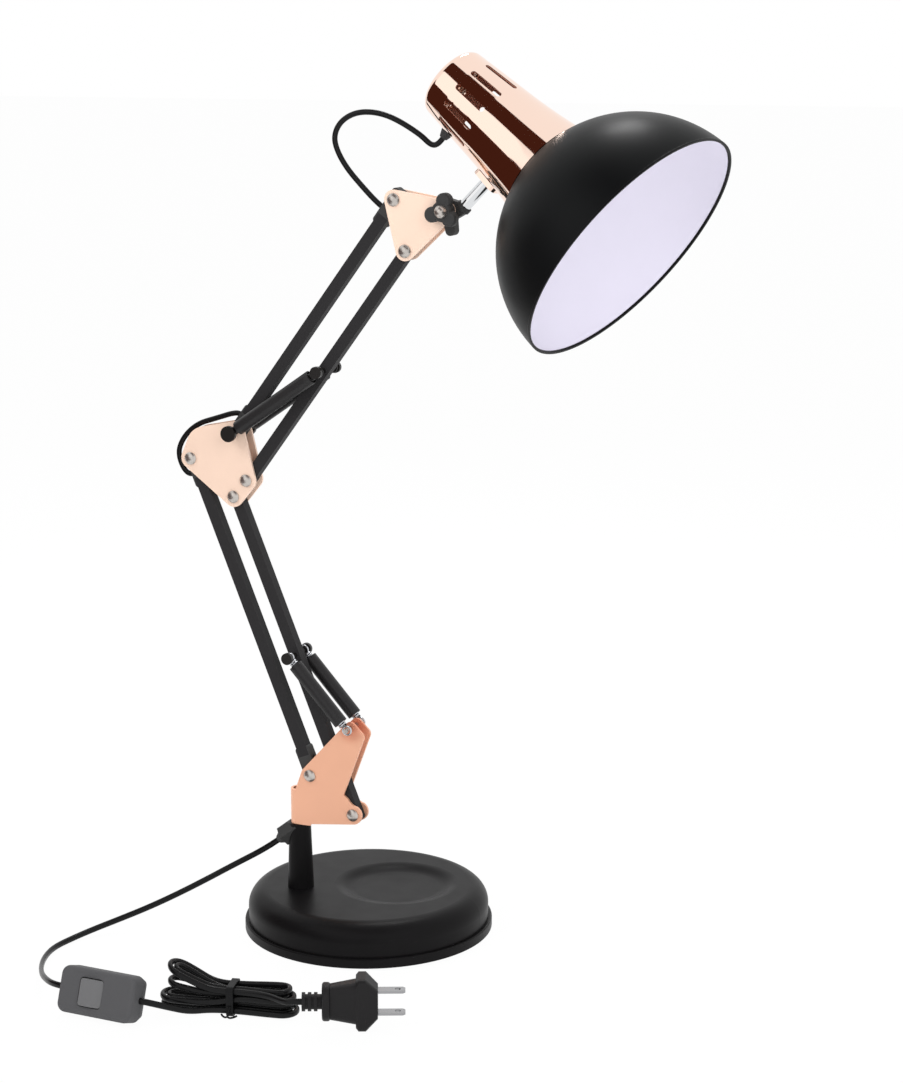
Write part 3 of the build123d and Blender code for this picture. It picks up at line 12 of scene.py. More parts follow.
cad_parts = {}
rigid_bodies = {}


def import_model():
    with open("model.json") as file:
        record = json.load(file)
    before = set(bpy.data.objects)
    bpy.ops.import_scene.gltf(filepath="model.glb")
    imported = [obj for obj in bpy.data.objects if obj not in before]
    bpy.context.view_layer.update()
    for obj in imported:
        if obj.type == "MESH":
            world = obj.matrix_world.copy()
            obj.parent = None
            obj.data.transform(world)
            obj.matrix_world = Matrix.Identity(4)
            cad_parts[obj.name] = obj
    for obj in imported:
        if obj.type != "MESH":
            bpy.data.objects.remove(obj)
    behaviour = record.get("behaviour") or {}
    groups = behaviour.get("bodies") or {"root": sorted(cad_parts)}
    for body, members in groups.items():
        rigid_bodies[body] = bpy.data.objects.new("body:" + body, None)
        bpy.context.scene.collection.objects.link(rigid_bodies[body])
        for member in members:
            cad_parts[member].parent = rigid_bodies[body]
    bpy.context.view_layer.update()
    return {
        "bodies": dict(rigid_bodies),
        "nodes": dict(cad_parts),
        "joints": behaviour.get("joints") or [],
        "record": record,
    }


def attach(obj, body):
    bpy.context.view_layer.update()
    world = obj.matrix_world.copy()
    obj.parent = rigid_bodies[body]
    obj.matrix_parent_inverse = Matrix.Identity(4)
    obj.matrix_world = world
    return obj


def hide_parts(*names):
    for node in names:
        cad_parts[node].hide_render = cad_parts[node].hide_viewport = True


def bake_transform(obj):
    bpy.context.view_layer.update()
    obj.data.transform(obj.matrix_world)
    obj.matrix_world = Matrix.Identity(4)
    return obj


LOG = logging.getLogger("architect_lamp")
MM = 0.001
WELD = 0.00001
Colour = tuple[float, float, float, float]
Point = tuple[float, float, float]
WHITE: Colour = (1.0, 1.0, 1.0, 1.0)


class Body(str, Enum):
    """The bodies that new pieces ride on."""

    BASE = "base"
    FORK = "fork"
    LOWER_REAR = "lower_rear"
    LOWER_FRONT = "lower_front"
    ELBOW = "elbow"
    UPPER_REAR = "upper_rear"
    UPPER_FRONT = "upper_front"
    HEAD_BRACKET = "head_bracket"
    TILT_BLOCK = "tilt_block"
    HEAD = "head"


class Slot(str, Enum):
    """The record's material slots."""

    SATIN_BLACK = "satin_black"
    IRON = "iron"
    PAD = "pad"
    STEEL = "steel"
    ROSE_FORK = "rose_fork"
    ROSE_PLATE = "rose_plate"
    BRIGHT_BOLT = "bright_bolt"
    BLACK_PIN = "black_pin"
    SPRING_WIRE = "spring_wire"
    SLEEVE = "sleeve"
    MOULDED_BLACK = "moulded_black"
    CHROME_STEM = "chrome_stem"
    COPPER = "copper"
    SHADE_PAINT = "shade_paint"
    HOLDER = "holder"
    BRASS_PARTS = "brass_parts"
    LEAD = "lead"
    CORD = "cord"
    TIE = "tie"
    SWITCH_SHELL = "switch_shell"
    SWITCH_ROCKER = "switch_rocker"
    PLUG = "plug"
    BLADE = "blade"


def tone(red: int, green: int, blue: int) -> Colour:
    """A display colour as linear light.

    Args:
        red: Red from 0 to 255.
        green: Green from 0 to 255.
        blue: Blue from 0 to 255.

    Returns:
        The linear colour with full alpha.
    """
    shares = [value / 255 for value in (red, green, blue)]
    linear = [s / 12.92 if s <= 0.04045 else ((s + 0.055) / 1.055) ** 2.4 for s in shares]
    return (linear[0], linear[1], linear[2], 1.0)


class Wire:
    """A shader socket that takes part in sums like a number."""

    def __init__(self, graph: "Graph", socket: bpy.types.NodeSocket) -> None:
        """Keeps the socket and the graph that it belongs to."""
        self.graph = graph
        self.socket = socket

    def __add__(self, other: "Wire | float") -> "Wire":
        """The sum."""
        return self.graph.math("ADD", self, other)

    def __sub__(self, other: "Wire | float") -> "Wire":
        """The difference."""
        return self.graph.math("SUBTRACT", self, other)

    def __rsub__(self, other: float) -> "Wire":
        """The difference, taken from a number."""
        return self.graph.math("SUBTRACT", other, self)

    def __mul__(self, other: "Wire | float") -> "Wire":
        """The product."""
        return self.graph.math("MULTIPLY", self, other)

    __radd__ = __add__
    __rmul__ = __mul__


class Graph:
    """The node tree of one material or of the world."""

    def __init__(self, owner: bpy.types.Material | bpy.types.World) -> None:
        """Starts with an empty tree.

        Args:
            owner: The new material or world.
        """
        self.owner = owner
        self.owner.use_nodes = True
        self.tree = self.owner.node_tree
        self.tree.nodes.clear()

    def node(self, kind: str, settings: dict | None = None, values: dict | None = None) -> bpy.types.Node:
        """Adds one node.

        Args:
            kind: The node's type.
            settings: Its properties, set first.
            values: Its inputs by name or index, each a number, a colour or a wire.

        Returns:
            The new node.
        """
        made = self.tree.nodes.new(kind)
        for key, value in (settings or {}).items():
            setattr(made, key, value)
        for key, value in (values or {}).items():
            if isinstance(value, Wire):
                self.tree.links.new(value.socket, made.inputs[key])
            else:
                made.inputs[key].default_value = value
        return made

    def wire(self, made: bpy.types.Node, output: str | int = 0) -> Wire:
        """One output of a node as a wire."""
        return Wire(self, made.outputs[output])

    def shader(self, kind: str, values: dict) -> Wire:
        """One shader node as a wire."""
        return self.wire(self.node(kind, None, values))

    def math(self, operation: str, first: Wire | float, second: Wire | float) -> Wire:
        """One sum of two values."""
        return self.wire(self.node("ShaderNodeMath", {"operation": operation}, {0: first, 1: second}))

    def place(self) -> Wire:
        """The piece's own coordinates in metres."""
        return self.wire(self.node("ShaderNodeTexCoord"), "Object")

    def stretched(self, scale: Point, turn: Point = (0.0, 0.0, 0.0)) -> Wire:
        """The piece's coordinates, turned and stretched."""
        values = {"Vector": self.place(), "Rotation": turn, "Scale": scale}
        return self.wire(self.node("ShaderNodeMapping", {"vector_type": "TEXTURE"}, values))

    def noise(self, scale: float, detail: float = 2.0, vector: Wire | None = None) -> Wire:
        """Smooth noise from 0 to 1.

        Args:
            scale: Features for each metre.
            detail: Finer layers.
            vector: Coordinates, or the piece's own.

        Returns:
            The noise value.
        """
        values = {"Vector": vector or self.place(), "Scale": scale, "Detail": detail}
        return self.wire(self.node("ShaderNodeTexNoise", None, values), 0)

    def step(self, value: Wire, low: float, high: float) -> Wire:
        """A soft step from 0 at one value to 1 at another."""
        limits = {"Value": value, "From Min": low, "From Max": high}
        return self.wire(self.node("ShaderNodeMapRange", {"interpolation_type": "SMOOTHSTEP"}, limits))

    def blend(self, factor: Wire | float, first: Wire | Colour, second: Wire | Colour) -> Wire:
        """A mix of two colours."""
        values = {0: factor, 6: first, 7: second}
        return self.wire(self.node("ShaderNodeMix", {"data_type": "RGBA"}, values), 2)

    def distance(self, point: Point) -> Wire:
        """How far the surface is from a point, in metres."""
        values = {0: self.place(), 1: point}
        return self.wire(self.node("ShaderNodeVectorMath", {"operation": "DISTANCE"}, values), "Value")

    def along(self, direction: Point) -> Wire:
        """How far along a direction the surface is, in metres."""
        values = {0: self.place(), 1: direction}
        return self.wire(self.node("ShaderNodeVectorMath", {"operation": "DOT_PRODUCT"}, values), "Value")

    def bump(self, height: Wire, depth: float) -> Wire:
        """A relief of that depth in metres."""
        return self.wire(self.node("ShaderNodeBump", None, {"Height": height, "Distance": depth}))

    def surface(self, values: dict) -> bpy.types.Material:
        """Ends the graph with one principled surface.

        Args:
            values: The surface's inputs by name.

        Returns:
            The finished material.
        """
        self.end(self.shader("ShaderNodeBsdfPrincipled", values))
        return self.owner

    def end(self, surface: Wire, kind: str = "ShaderNodeOutputMaterial") -> None:
        """Ends the graph with a shader's wire."""
        self.node(kind, None, {"Surface": surface})


@dataclass(frozen=True)
class Finish:
    """A finish with a little wear in its tone, gloss and relief."""

    name: str
    colour: Colour
    roughness: float
    metallic: float = 0.0
    specular: float = 0.5
    grain: float = 900.0
    relief: float = 0.000004
    variation: float = 0.12
    tone_patches: float = 24.0
    gloss_patches: float = 60.0
    gloss_least: float = 0.85
    gloss_swing: float = 0.3

    def shade(self, graph: Graph) -> Wire:
        """The base colour, slightly uneven."""
        dark = tuple(value * (1 - self.variation) for value in self.colour[:3]) + (1.0,)
        return graph.blend(graph.noise(self.tone_patches, detail=3.0), dark, self.colour)

    def gloss(self, graph: Graph) -> Wire:
        """The roughness, slightly uneven."""
        uneven = self.gloss_swing * graph.noise(self.gloss_patches, detail=4.0)
        return self.roughness * (self.gloss_least + uneven)

    def metal(self, graph: Graph) -> Wire | float:
        """How far the surface is bare metal."""
        return self.metallic

    def height(self, graph: Graph) -> Wire:
        """The relief's height from 0 to 1."""
        return graph.noise(self.grain)

    def material(self) -> bpy.types.Material:
        """Makes the material once.

        Returns:
            The new material, or the one that was made before.
        """
        known = bpy.data.materials.get(self.name)
        if known is not None:
            return known
        graph = Graph(bpy.data.materials.new(self.name))
        return graph.surface({
            "Base Color": self.shade(graph),
            "Roughness": self.gloss(graph),
            "Metallic": self.metal(graph),
            "Specular IOR Level": self.specular,
            "Normal": graph.bump(self.height(graph), self.relief),
        })


@dataclass(frozen=True)
class Brushed(Finish):
    """Sheet metal with fine lines along one direction."""

    turn: Point = (0.0, 0.0, 0.0)
    stretch: Point = (30.0, 1.0, 1.0)

    def height(self, graph: Graph) -> Wire:
        """Fine lines as height."""
        return graph.noise(self.grain, vector=graph.stretched(self.stretch, self.turn))


@dataclass(frozen=True)
class PlateWithPaintedShade(Brushed):
    """Plated sheet with painted shade and painted inter-reflection, deepest round one place."""

    # The colour of the painted shade and inter-reflection; the fields below place it and set how far it
    # spreads.
    painted_shade_colour: Colour = (0.6, 0.2, 0.1, 1.0)
    centre: Point = (0.0, 0.0, 0.0)
    reach: float = 0.02
    depth: float = 0.7
    core: float = 0.15

    def shade(self, graph: Graph) -> Wire:
        """The plating's colour, darkened by painted shade and inter-reflection near one place."""
        # Painted shade: full within the core and fading out towards the reach.
        near = 1.0 - graph.step(graph.distance(self.centre), self.core * self.reach, self.reach)
        return graph.blend(self.depth * near, super().shade(graph), self.painted_shade_colour)


@dataclass(frozen=True)
class Mirror(Finish):
    """Polished metal with faint smudges."""

    smudge: float = 0.05
    relief: float = 0.0000005
    smudge_patches: float = 45.0
    smudge_start: float = 0.5
    smudge_full: float = 0.8

    def gloss(self, graph: Graph) -> Wire:
        """A low roughness with wide, faint smudges."""
        patches = graph.noise(self.smudge_patches, detail=5.0)
        return self.roughness + self.smudge * graph.step(patches, self.smudge_start, self.smudge_full)


@dataclass(frozen=True)
class CoverPlating(Mirror):
    """Polished plating outside a tapered cover and a dull coat inside it."""

    rim: Point = (0.0, 0.0, 0.0)
    back: Point = (0.0, 0.0, 1.0)
    rim_place: float = 0.0
    waist_station: float = 0.104
    waist_radius: float = 0.02395
    taper: float = 0.0853
    top: float = 0.141
    edge: float = 0.0001
    coat: Colour = (0.5, 0.22, 0.15, 1.0)
    dullness: float = 0.6

    def inside(self, graph: Graph) -> Wire:
        """How far the surface belongs to the dull inside.

        Args:
            graph: The material's graph.

        Returns:
            1 on the inside and 0 outside.
        """
        station = graph.along(self.back) - self.rim_place
        away = graph.distance(self.rim)
        radial = graph.math("POWER", away * away - station * station, 0.5)
        wall = self.waist_radius - self.taper * (station - self.waist_station)
        within = 1.0 - graph.step(radial - wall, -self.edge, self.edge)
        return within * (1.0 - graph.step(station, self.top - self.edge, self.top))

    def shade(self, graph: Graph) -> Wire:
        """Polished plating, or the dull coat on the inside."""
        return graph.blend(self.inside(graph), super().shade(graph), self.coat)

    def metal(self, graph: Graph) -> Wire | float:
        """Bare metal outside and a coat inside."""
        return 1.0 - self.inside(graph)

    def gloss(self, graph: Graph) -> Wire:
        """The inside is much flatter than the outside."""
        return super().gloss(graph) + self.dullness * self.inside(graph)


@dataclass(frozen=True)
class DomePaint(Finish):
    """Dark paint outside a dome and pale paint inside it."""

    centre: Point = (0.0, 0.0, 0.0)
    radius: float = 0.07
    rim_direction: Point = (1.0, 0.0, 0.0)
    rim_place: float = 0.0
    edge: float = 0.00012
    rim_edge: float = 0.00048
    inside: Colour = (0.8, 0.8, 0.85, 1.0)
    inside_patches: float = 18.0
    soft_share: float = 0.96
    flatness: float = 0.35

    def pale(self, graph: Graph) -> Wire:
        """How far the surface belongs to the pale inside.

        Args:
            graph: The material's graph.

        Returns:
            1 on the inside and 0 outside.
        """
        beyond = graph.step(graph.distance(self.centre), self.radius - self.edge, self.radius + self.edge)
        ahead = graph.step(graph.along(self.rim_direction), self.rim_place - self.rim_edge, self.rim_place)
        return (1.0 - beyond) * (1.0 - ahead)

    def shade(self, graph: Graph) -> Wire:
        """Dark paint, or pale paint on the inside.

        Args:
            graph: The material's graph.

        Returns:
            The base colour.
        """
        dark = super().shade(graph)
        soft = tuple(value * self.soft_share for value in self.inside[:3]) + (1.0,)
        pale = graph.blend(graph.noise(self.inside_patches, detail=3.0), soft, self.inside)
        return graph.blend(self.pale(graph), dark, pale)

    def gloss(self, graph: Graph) -> Wire:
        """The inside is flatter than the outside."""
        return super().gloss(graph) + self.flatness * self.pale(graph)


class Palette:
    """The finish of each material slot."""

    def __init__(self, dome: DomePaint, cover: CoverPlating, hook: Vector) -> None:
        """Keeps one finish for each slot.

        Args:
            dome: The dome's own paint.
            cover: The socket cover's own plating.
            hook: The place on the fork where the shade and inter-reflection are painted deepest.
        """
        skin = {"grain": 1600.0, "relief": 0.00001}
        self.finishes: dict[Slot, Finish] = {
            Slot.SATIN_BLACK: Finish("satin_black_paint", tone(17, 16, 17), 0.4, specular=0.1),
            Slot.IRON: Finish("raw_iron", tone(70, 68, 66), 0.7, 0.6, grain=260.0, relief=0.00006),
            Slot.PAD: Finish("foot_rubber", tone(30, 30, 30), 0.85, grain=1400.0, relief=0.00003),
            Slot.STEEL: Brushed("plain_steel", tone(176, 176, 178), 0.32, 1.0),
            # The fork's plating, with painted shade and inter-reflection round the spring's hook.
            Slot.ROSE_FORK: PlateWithPaintedShade(
                "rose_plating", tone(244, 184, 152), 0.4, 0.3, stretch=(1.0, 1.0, 40.0),
                painted_shade_colour=tone(206, 96, 62), centre=tuple(hook), reach=0.013),
            Slot.ROSE_PLATE: Brushed(
                "pale_rose_plating", tone(255, 224, 203), 0.4, 0.25,
                stretch=(40.0, 1.0, 1.0), variation=0.04),
            Slot.BRIGHT_BOLT: Mirror("satin_plating", tone(206, 200, 194), 0.3, 0.9),
            Slot.BLACK_PIN: Finish("black_plating", tone(26, 24, 23), 0.36, specular=0.4),
            Slot.SPRING_WIRE: Mirror("spring_steel", tone(214, 216, 220), 0.18, 1.0),
            Slot.SLEEVE: Finish(
                "sleeve_rubber", tone(34, 33, 34), 0.4, specular=0.3, grain=1500.0, relief=0.00001),
            Slot.MOULDED_BLACK: Finish("moulded_black", tone(20, 20, 21), 0.4, specular=0.14, grain=1800.0),
            Slot.CHROME_STEM: Mirror("chrome", tone(228, 230, 232), 0.08, 1.0),
            Slot.COPPER: cover,
            Slot.SHADE_PAINT: dome,
            Slot.HOLDER: Finish("pale_porcelain", tone(200, 192, 185), 0.3, grain=300.0, variation=0.04),
            Slot.BRASS_PARTS: Brushed("brass", tone(206, 170, 96), 0.3, 1.0),
            Slot.LEAD: Finish("lead_skin", tone(20, 20, 21), 0.32, specular=0.2, **skin),
            Slot.CORD: Finish("cord_skin", tone(17, 17, 18), 0.28, specular=0.18, **skin),
            Slot.TIE: Finish("tie_skin", tone(18, 18, 19), 0.45, specular=0.15, **skin),
            Slot.SWITCH_SHELL: Finish(
                "switch_shell", tone(58, 58, 59), 0.5, specular=0.14, grain=2200.0, relief=0.000012),
            Slot.SWITCH_ROCKER: Finish(
                "switch_rocker", tone(122, 122, 123), 0.45, specular=0.3, grain=2200.0),
            Slot.PLUG: Finish(
                "plug_skin", tone(30, 29, 30), 0.42, specular=0.16, grain=2000.0, relief=0.00001),
            Slot.BLADE: Brushed("blade_plating", tone(168, 168, 170), 0.24, 1.0),
        }
        # The rods share the satin black paint, made lighter here as painted light for the light that they
        # catch.
        self.rods_with_painted_light = Finish("rod_paint_painted_light", tone(47, 46, 47), 0.5, specular=0.06, grain=1400.0)

    def paint(self, piece: bpy.types.Object, slot: Slot) -> None:
        """Gives a new piece the finish of one slot.

        Args:
            piece: The piece.
            slot: The record's material slot.
        """
        piece.data.materials.clear()
        piece.data.materials.append(self.finishes[slot].material())
        LOG.info("%s has the finish of %s", piece.name, slot.value)

    def dress(self, frame: dict) -> None:
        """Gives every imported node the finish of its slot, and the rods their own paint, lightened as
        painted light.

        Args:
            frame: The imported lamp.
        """
        for entry in frame["record"]["subparts"]:
            name = entry["node"]
            finish = self.finishes[Slot(entry["material_slot"])]
            if name.endswith("_rod"):
                finish = self.rods_with_painted_light
            for place in frame["nodes"][name].material_slots:
                place.material = finish.material()


class Bench:
    """The modelling steps that several pieces share."""

    @staticmethod
    def clear() -> None:
        """Deselects everything."""
        bpy.ops.object.select_all(action="DESELECT")

    @staticmethod
    def current(name: str) -> bpy.types.Object:
        """Names the object that was just added.

        Args:
            name: Its new name.

        Returns:
            The object.
        """
        made = bpy.context.object
        made.name = name
        made.data.name = name
        return made

    @staticmethod
    def only(piece: bpy.types.Object) -> None:
        """Selects one object and makes it active.

        Args:
            piece: The object.
        """
        Bench.clear()
        piece.select_set(True)
        bpy.context.view_layer.objects.active = piece

    @staticmethod
    def apply(piece: bpy.types.Object, kind: str, settings: dict) -> None:
        """Adds a modifier and applies it.

        Args:
            piece: The object.
            kind: The modifier's type.
            settings: Its properties.
        """
        Bench.only(piece)
        modifier = piece.modifiers.new(kind.title(), kind)
        for key, value in settings.items():
            setattr(modifier, key, value)
        bpy.ops.object.modifier_apply(modifier=modifier.name)

    @staticmethod
    def settle(piece: bpy.types.Object, place: Matrix) -> bpy.types.Object:
        """Puts an object in its place and leaves the place in its mesh.

        Args:
            piece: The object.
            place: Where it goes from where it is.

        Returns:
            The same object.
        """
        Bench.only(piece)
        piece.matrix_world = place @ piece.matrix_world
        bpy.ops.object.transform_apply(location=True, rotation=True, scale=True)
        return piece

    @staticmethod
    def smooth(piece: bpy.types.Object, angle: float = 35.0) -> None:
        """Shades an object smooth below an angle in degrees."""
        Bench.only(piece)
        bpy.ops.object.shade_smooth_by_angle(angle=math.radians(angle))

    @staticmethod
    def tidy(piece: bpy.types.Object) -> None:
        """Merges doubled points and turns the faces outwards.

        Args:
            piece: The object.
        """
        Bench.only(piece)
        bpy.ops.object.mode_set(mode="EDIT")
        bpy.ops.mesh.select_all(action="SELECT")
        bpy.ops.mesh.remove_doubles(threshold=WELD)
        bpy.ops.mesh.normals_make_consistent(inside=False)
        bpy.ops.object.mode_set(mode="OBJECT")

    @staticmethod
    def copies(piece: bpy.types.Object, places: list[Matrix]) -> bpy.types.Object:
        """Repeats a piece at several places and joins the copies.

        Args:
            piece: The piece, modelled at the origin.
            places: Where the copies go.

        Returns:
            The joined piece.
        """
        made = []
        for place in places:
            twin = piece.copy()
            twin.data = piece.data.copy()
            bpy.context.collection.objects.link(twin)
            made.append(Bench.settle(twin, place))
        bpy.data.objects.remove(piece)
        return Bench.join(made)

    @staticmethod
    def join(made: list[bpy.types.Object]) -> bpy.types.Object:
        """Joins several objects into the first.

        Args:
            made: The objects.

        Returns:
            The first object.
        """
        Bench.only(made[0])
        for other in made[1:]:
            other.select_set(True)
        if len(made) > 1:
            bpy.ops.object.join()
        return made[0]

    @staticmethod
    def ring(name: str, radius: float, wire: float, sides: int = 10, steps: int = 32,
             rise: float = 0.0, turns: int = 1) -> bpy.types.Object:
        """A round wire turned about Z, as a ring or a coil.

        Args:
            name: The piece's name.
            radius: From the axis to the wire's middle.
            wire: The wire's diameter.
            sides: Sides of the wire.
            steps: Steps in one turn.
            rise: Height gained in one turn.
            turns: The number of turns.

        Returns:
            The ring or coil at the origin.
        """
        Bench.clear()
        bpy.ops.mesh.primitive_circle_add(vertices=sides, radius=wire / 2, location=(radius, 0, 0),
                                          rotation=(math.pi / 2, 0, 0))
        made = Bench.current(name)
        bpy.ops.object.transform_apply(location=True, rotation=True, scale=True)
        Bench.apply(made, "SCREW", {
            "screw_offset": rise, "iterations": turns, "steps": steps, "render_steps": steps,
            "use_merge_vertices": True, "merge_threshold": WELD,
        })
        Bench.tidy(made)
        Bench.smooth(made, angle=60.0)
        return made

    @staticmethod
    def turned_to(origin: Vector, axis: Vector, side: Vector = Vector((0, 1, 0))) -> Matrix:
        """A frame with Z along an axis and Y near a side.

        Args:
            origin: The frame's origin.
            axis: Its Z direction.
            side: A direction that its Y keeps close to.

        Returns:
            The frame as a matrix.
        """
        up = axis.normalized()
        across = side.cross(up).normalized()
        left = up.cross(across)
        turn = Matrix((across, left, up)).transposed()
        return Matrix.Translation(origin) @ turn.to_4x4()


@dataclass
class ArmPoints:
    """The arm's pivots, read from the frame's joints."""

    frame: dict
    fork_rear: Vector = field(init=False)
    fork_front: Vector = field(init=False)
    elbow_rear: Vector = field(init=False)
    elbow_top: Vector = field(init=False)
    elbow_low: Vector = field(init=False)
    head_rear: Vector = field(init=False)
    post: Vector = field(init=False)
    hook: Vector = field(init=False)
    lower: Vector = field(init=False)
    upper: Vector = field(init=False)
    hook_reach: float = 36.0 * MM
    hook_height: float = 130.0 * MM
    lower_pin_reach: float = 101.5 * MM
    upper_pin_reach: float = 84.0 * MM

    def __post_init__(self) -> None:
        """Works out every pivot, and the way that each arm points."""
        places = {joint["name"]: Vector(joint["pos_m"]) for joint in self.frame["joints"]}
        self.fork_rear = places["lower_arm"]
        self.fork_front = places["lower_front_pivot"]
        self.elbow_rear = places["elbow_level"]
        self.elbow_top = places["upper_arm"]
        self.elbow_low = places["upper_front_pivot"]
        self.head_rear = places["head_level"]
        self.post = places["base_swivel"]
        self.hook = Vector((self.post.x + self.hook_reach, self.post.y, self.hook_height))
        self.lower = (self.elbow_rear - self.fork_rear).normalized()
        self.upper = (self.head_rear - self.elbow_top).normalized()


@dataclass
class Dome:
    """The shade's axis and sizes, read from the frame's lamp mount."""

    frame: dict
    radius: float = 74.5 * MM
    wall: float = 1.2 * MM
    rim_to_mount: float = 74.0 * MM
    rim_margin: float = 0.1 * MM
    sphere_station: float = -2.5 * MM
    stem_way: Vector = Vector((0.6972, 0.0, 0.7169))
    axis: Vector = field(init=False)
    rim: Vector = field(init=False)

    def __post_init__(self) -> None:
        """Reads the axis, and finds the rim's centre on it."""
        mount = next(entry for entry in self.frame["record"]["mounts"] if entry["name"] == "bulb_socket")
        self.axis = Vector(mount["axis"]).normalized()
        self.rim = Vector(mount["pos_m"]) + self.axis * self.rim_to_mount

    @property
    def place(self) -> Matrix:
        """A frame on the rim's centre.

        Returns:
            The frame, with Z from the rim to the back and X towards the stem.
        """
        back = -self.axis
        towards = -self.stem_way
        across = (towards - back * towards.dot(back)).normalized()
        left = back.cross(across)
        return Matrix.Translation(self.rim) @ Matrix((across, left, back)).transposed().to_4x4()

    def paint(self) -> DomePaint:
        """The dome's paint.

        Returns:
            Paint that is dark outside and pale inside.
        """
        centre = self.rim - self.axis * self.sphere_station
        return DomePaint(
            "dome_paint", tone(15, 16, 17), 0.4, specular=0.08, relief=0.000003,
            centre=tuple(centre), radius=self.radius - self.wall / 2,
            rim_direction=tuple(self.axis), rim_place=self.axis.dot(self.rim) - self.rim_margin,
            inside=tone(236, 233, 245),
        )

    def plating(self) -> CoverPlating:
        """The socket cover's plating.

        Returns:
            Plating that is polished outside and dull inside.
        """
        back = -self.axis
        return CoverPlating(
            "polished_copper", tone(252, 224, 208), 0.05, 1.0, variation=0.02, smudge=0.03,
            rim=tuple(self.rim), back=tuple(back), rim_place=back.dot(self.rim),
        )


@dataclass
class Route:
    """A cord's given points and its section."""

    name: str
    points: list[Vector]
    width: float
    thickness: float
    groove: float = 0.1
    groove_power: int = 8
    resolution: int = 6
    twist: str = "Z_UP"
    path: list[Vector] = field(init=False)

    def line(self) -> bpy.types.Object:
        """The smooth line that the points shape, whose own points are kept as the path.

        Returns:
            The line, as a curve with no section.
        """
        curve = bpy.data.curves.new(self.name, "CURVE")
        curve.dimensions = "3D"
        curve.resolution_u = self.resolution
        curve.twist_mode = self.twist
        spline = curve.splines.new("NURBS")
        spline.points.add(len(self.points) - 1)
        for target, point in zip(spline.points, self.points):
            target.co = (*point, 1.0)
        spline.order_u = 3
        spline.use_endpoint_u = True
        made = bpy.data.objects.new(self.name, curve)
        bpy.context.collection.objects.link(made)
        flat = bpy.data.meshes.new_from_object(made)
        self.path = [vertex.co.copy() for vertex in flat.vertices]
        bpy.data.meshes.remove(flat)
        return made

    def section(self, sides: int = 20) -> bpy.types.Object:
        """The cord's outline: two round cores side by side, with a groove between them.

        Args:
            sides: The number of its sides.

        Returns:
            The outline, as a closed curve.
        """
        curve = bpy.data.curves.new(self.name + "_section", "CURVE")
        curve.dimensions = "2D"
        spline = curve.splines.new("POLY")
        spline.points.add(sides - 1)
        for index, target in enumerate(spline.points):
            angle = 2 * math.pi * index / sides
            tall = self.width / 2 * math.sin(angle)
            waist = 1 - self.groove * math.cos(angle) ** self.groove_power
            target.co = (self.thickness / 2 * math.cos(angle) * waist, tall, 0, 1)
        spline.use_cyclic_u = True
        made = bpy.data.objects.new(self.name + "_section", curve)
        bpy.context.collection.objects.link(made)
        return made

    def build(self) -> bpy.types.Object:
        """Makes the cord along its smooth line.

        Returns:
            The cord, as a mesh.
        """
        made = self.line()
        outline = self.section()
        made.data.bevel_mode = "OBJECT"
        made.data.bevel_object = outline
        made.data.use_fill_caps = True
        Bench.only(made)
        bpy.ops.object.convert(target="MESH")
        bpy.data.objects.remove(outline)
        Bench.smooth(made, angle=50.0)
        return made


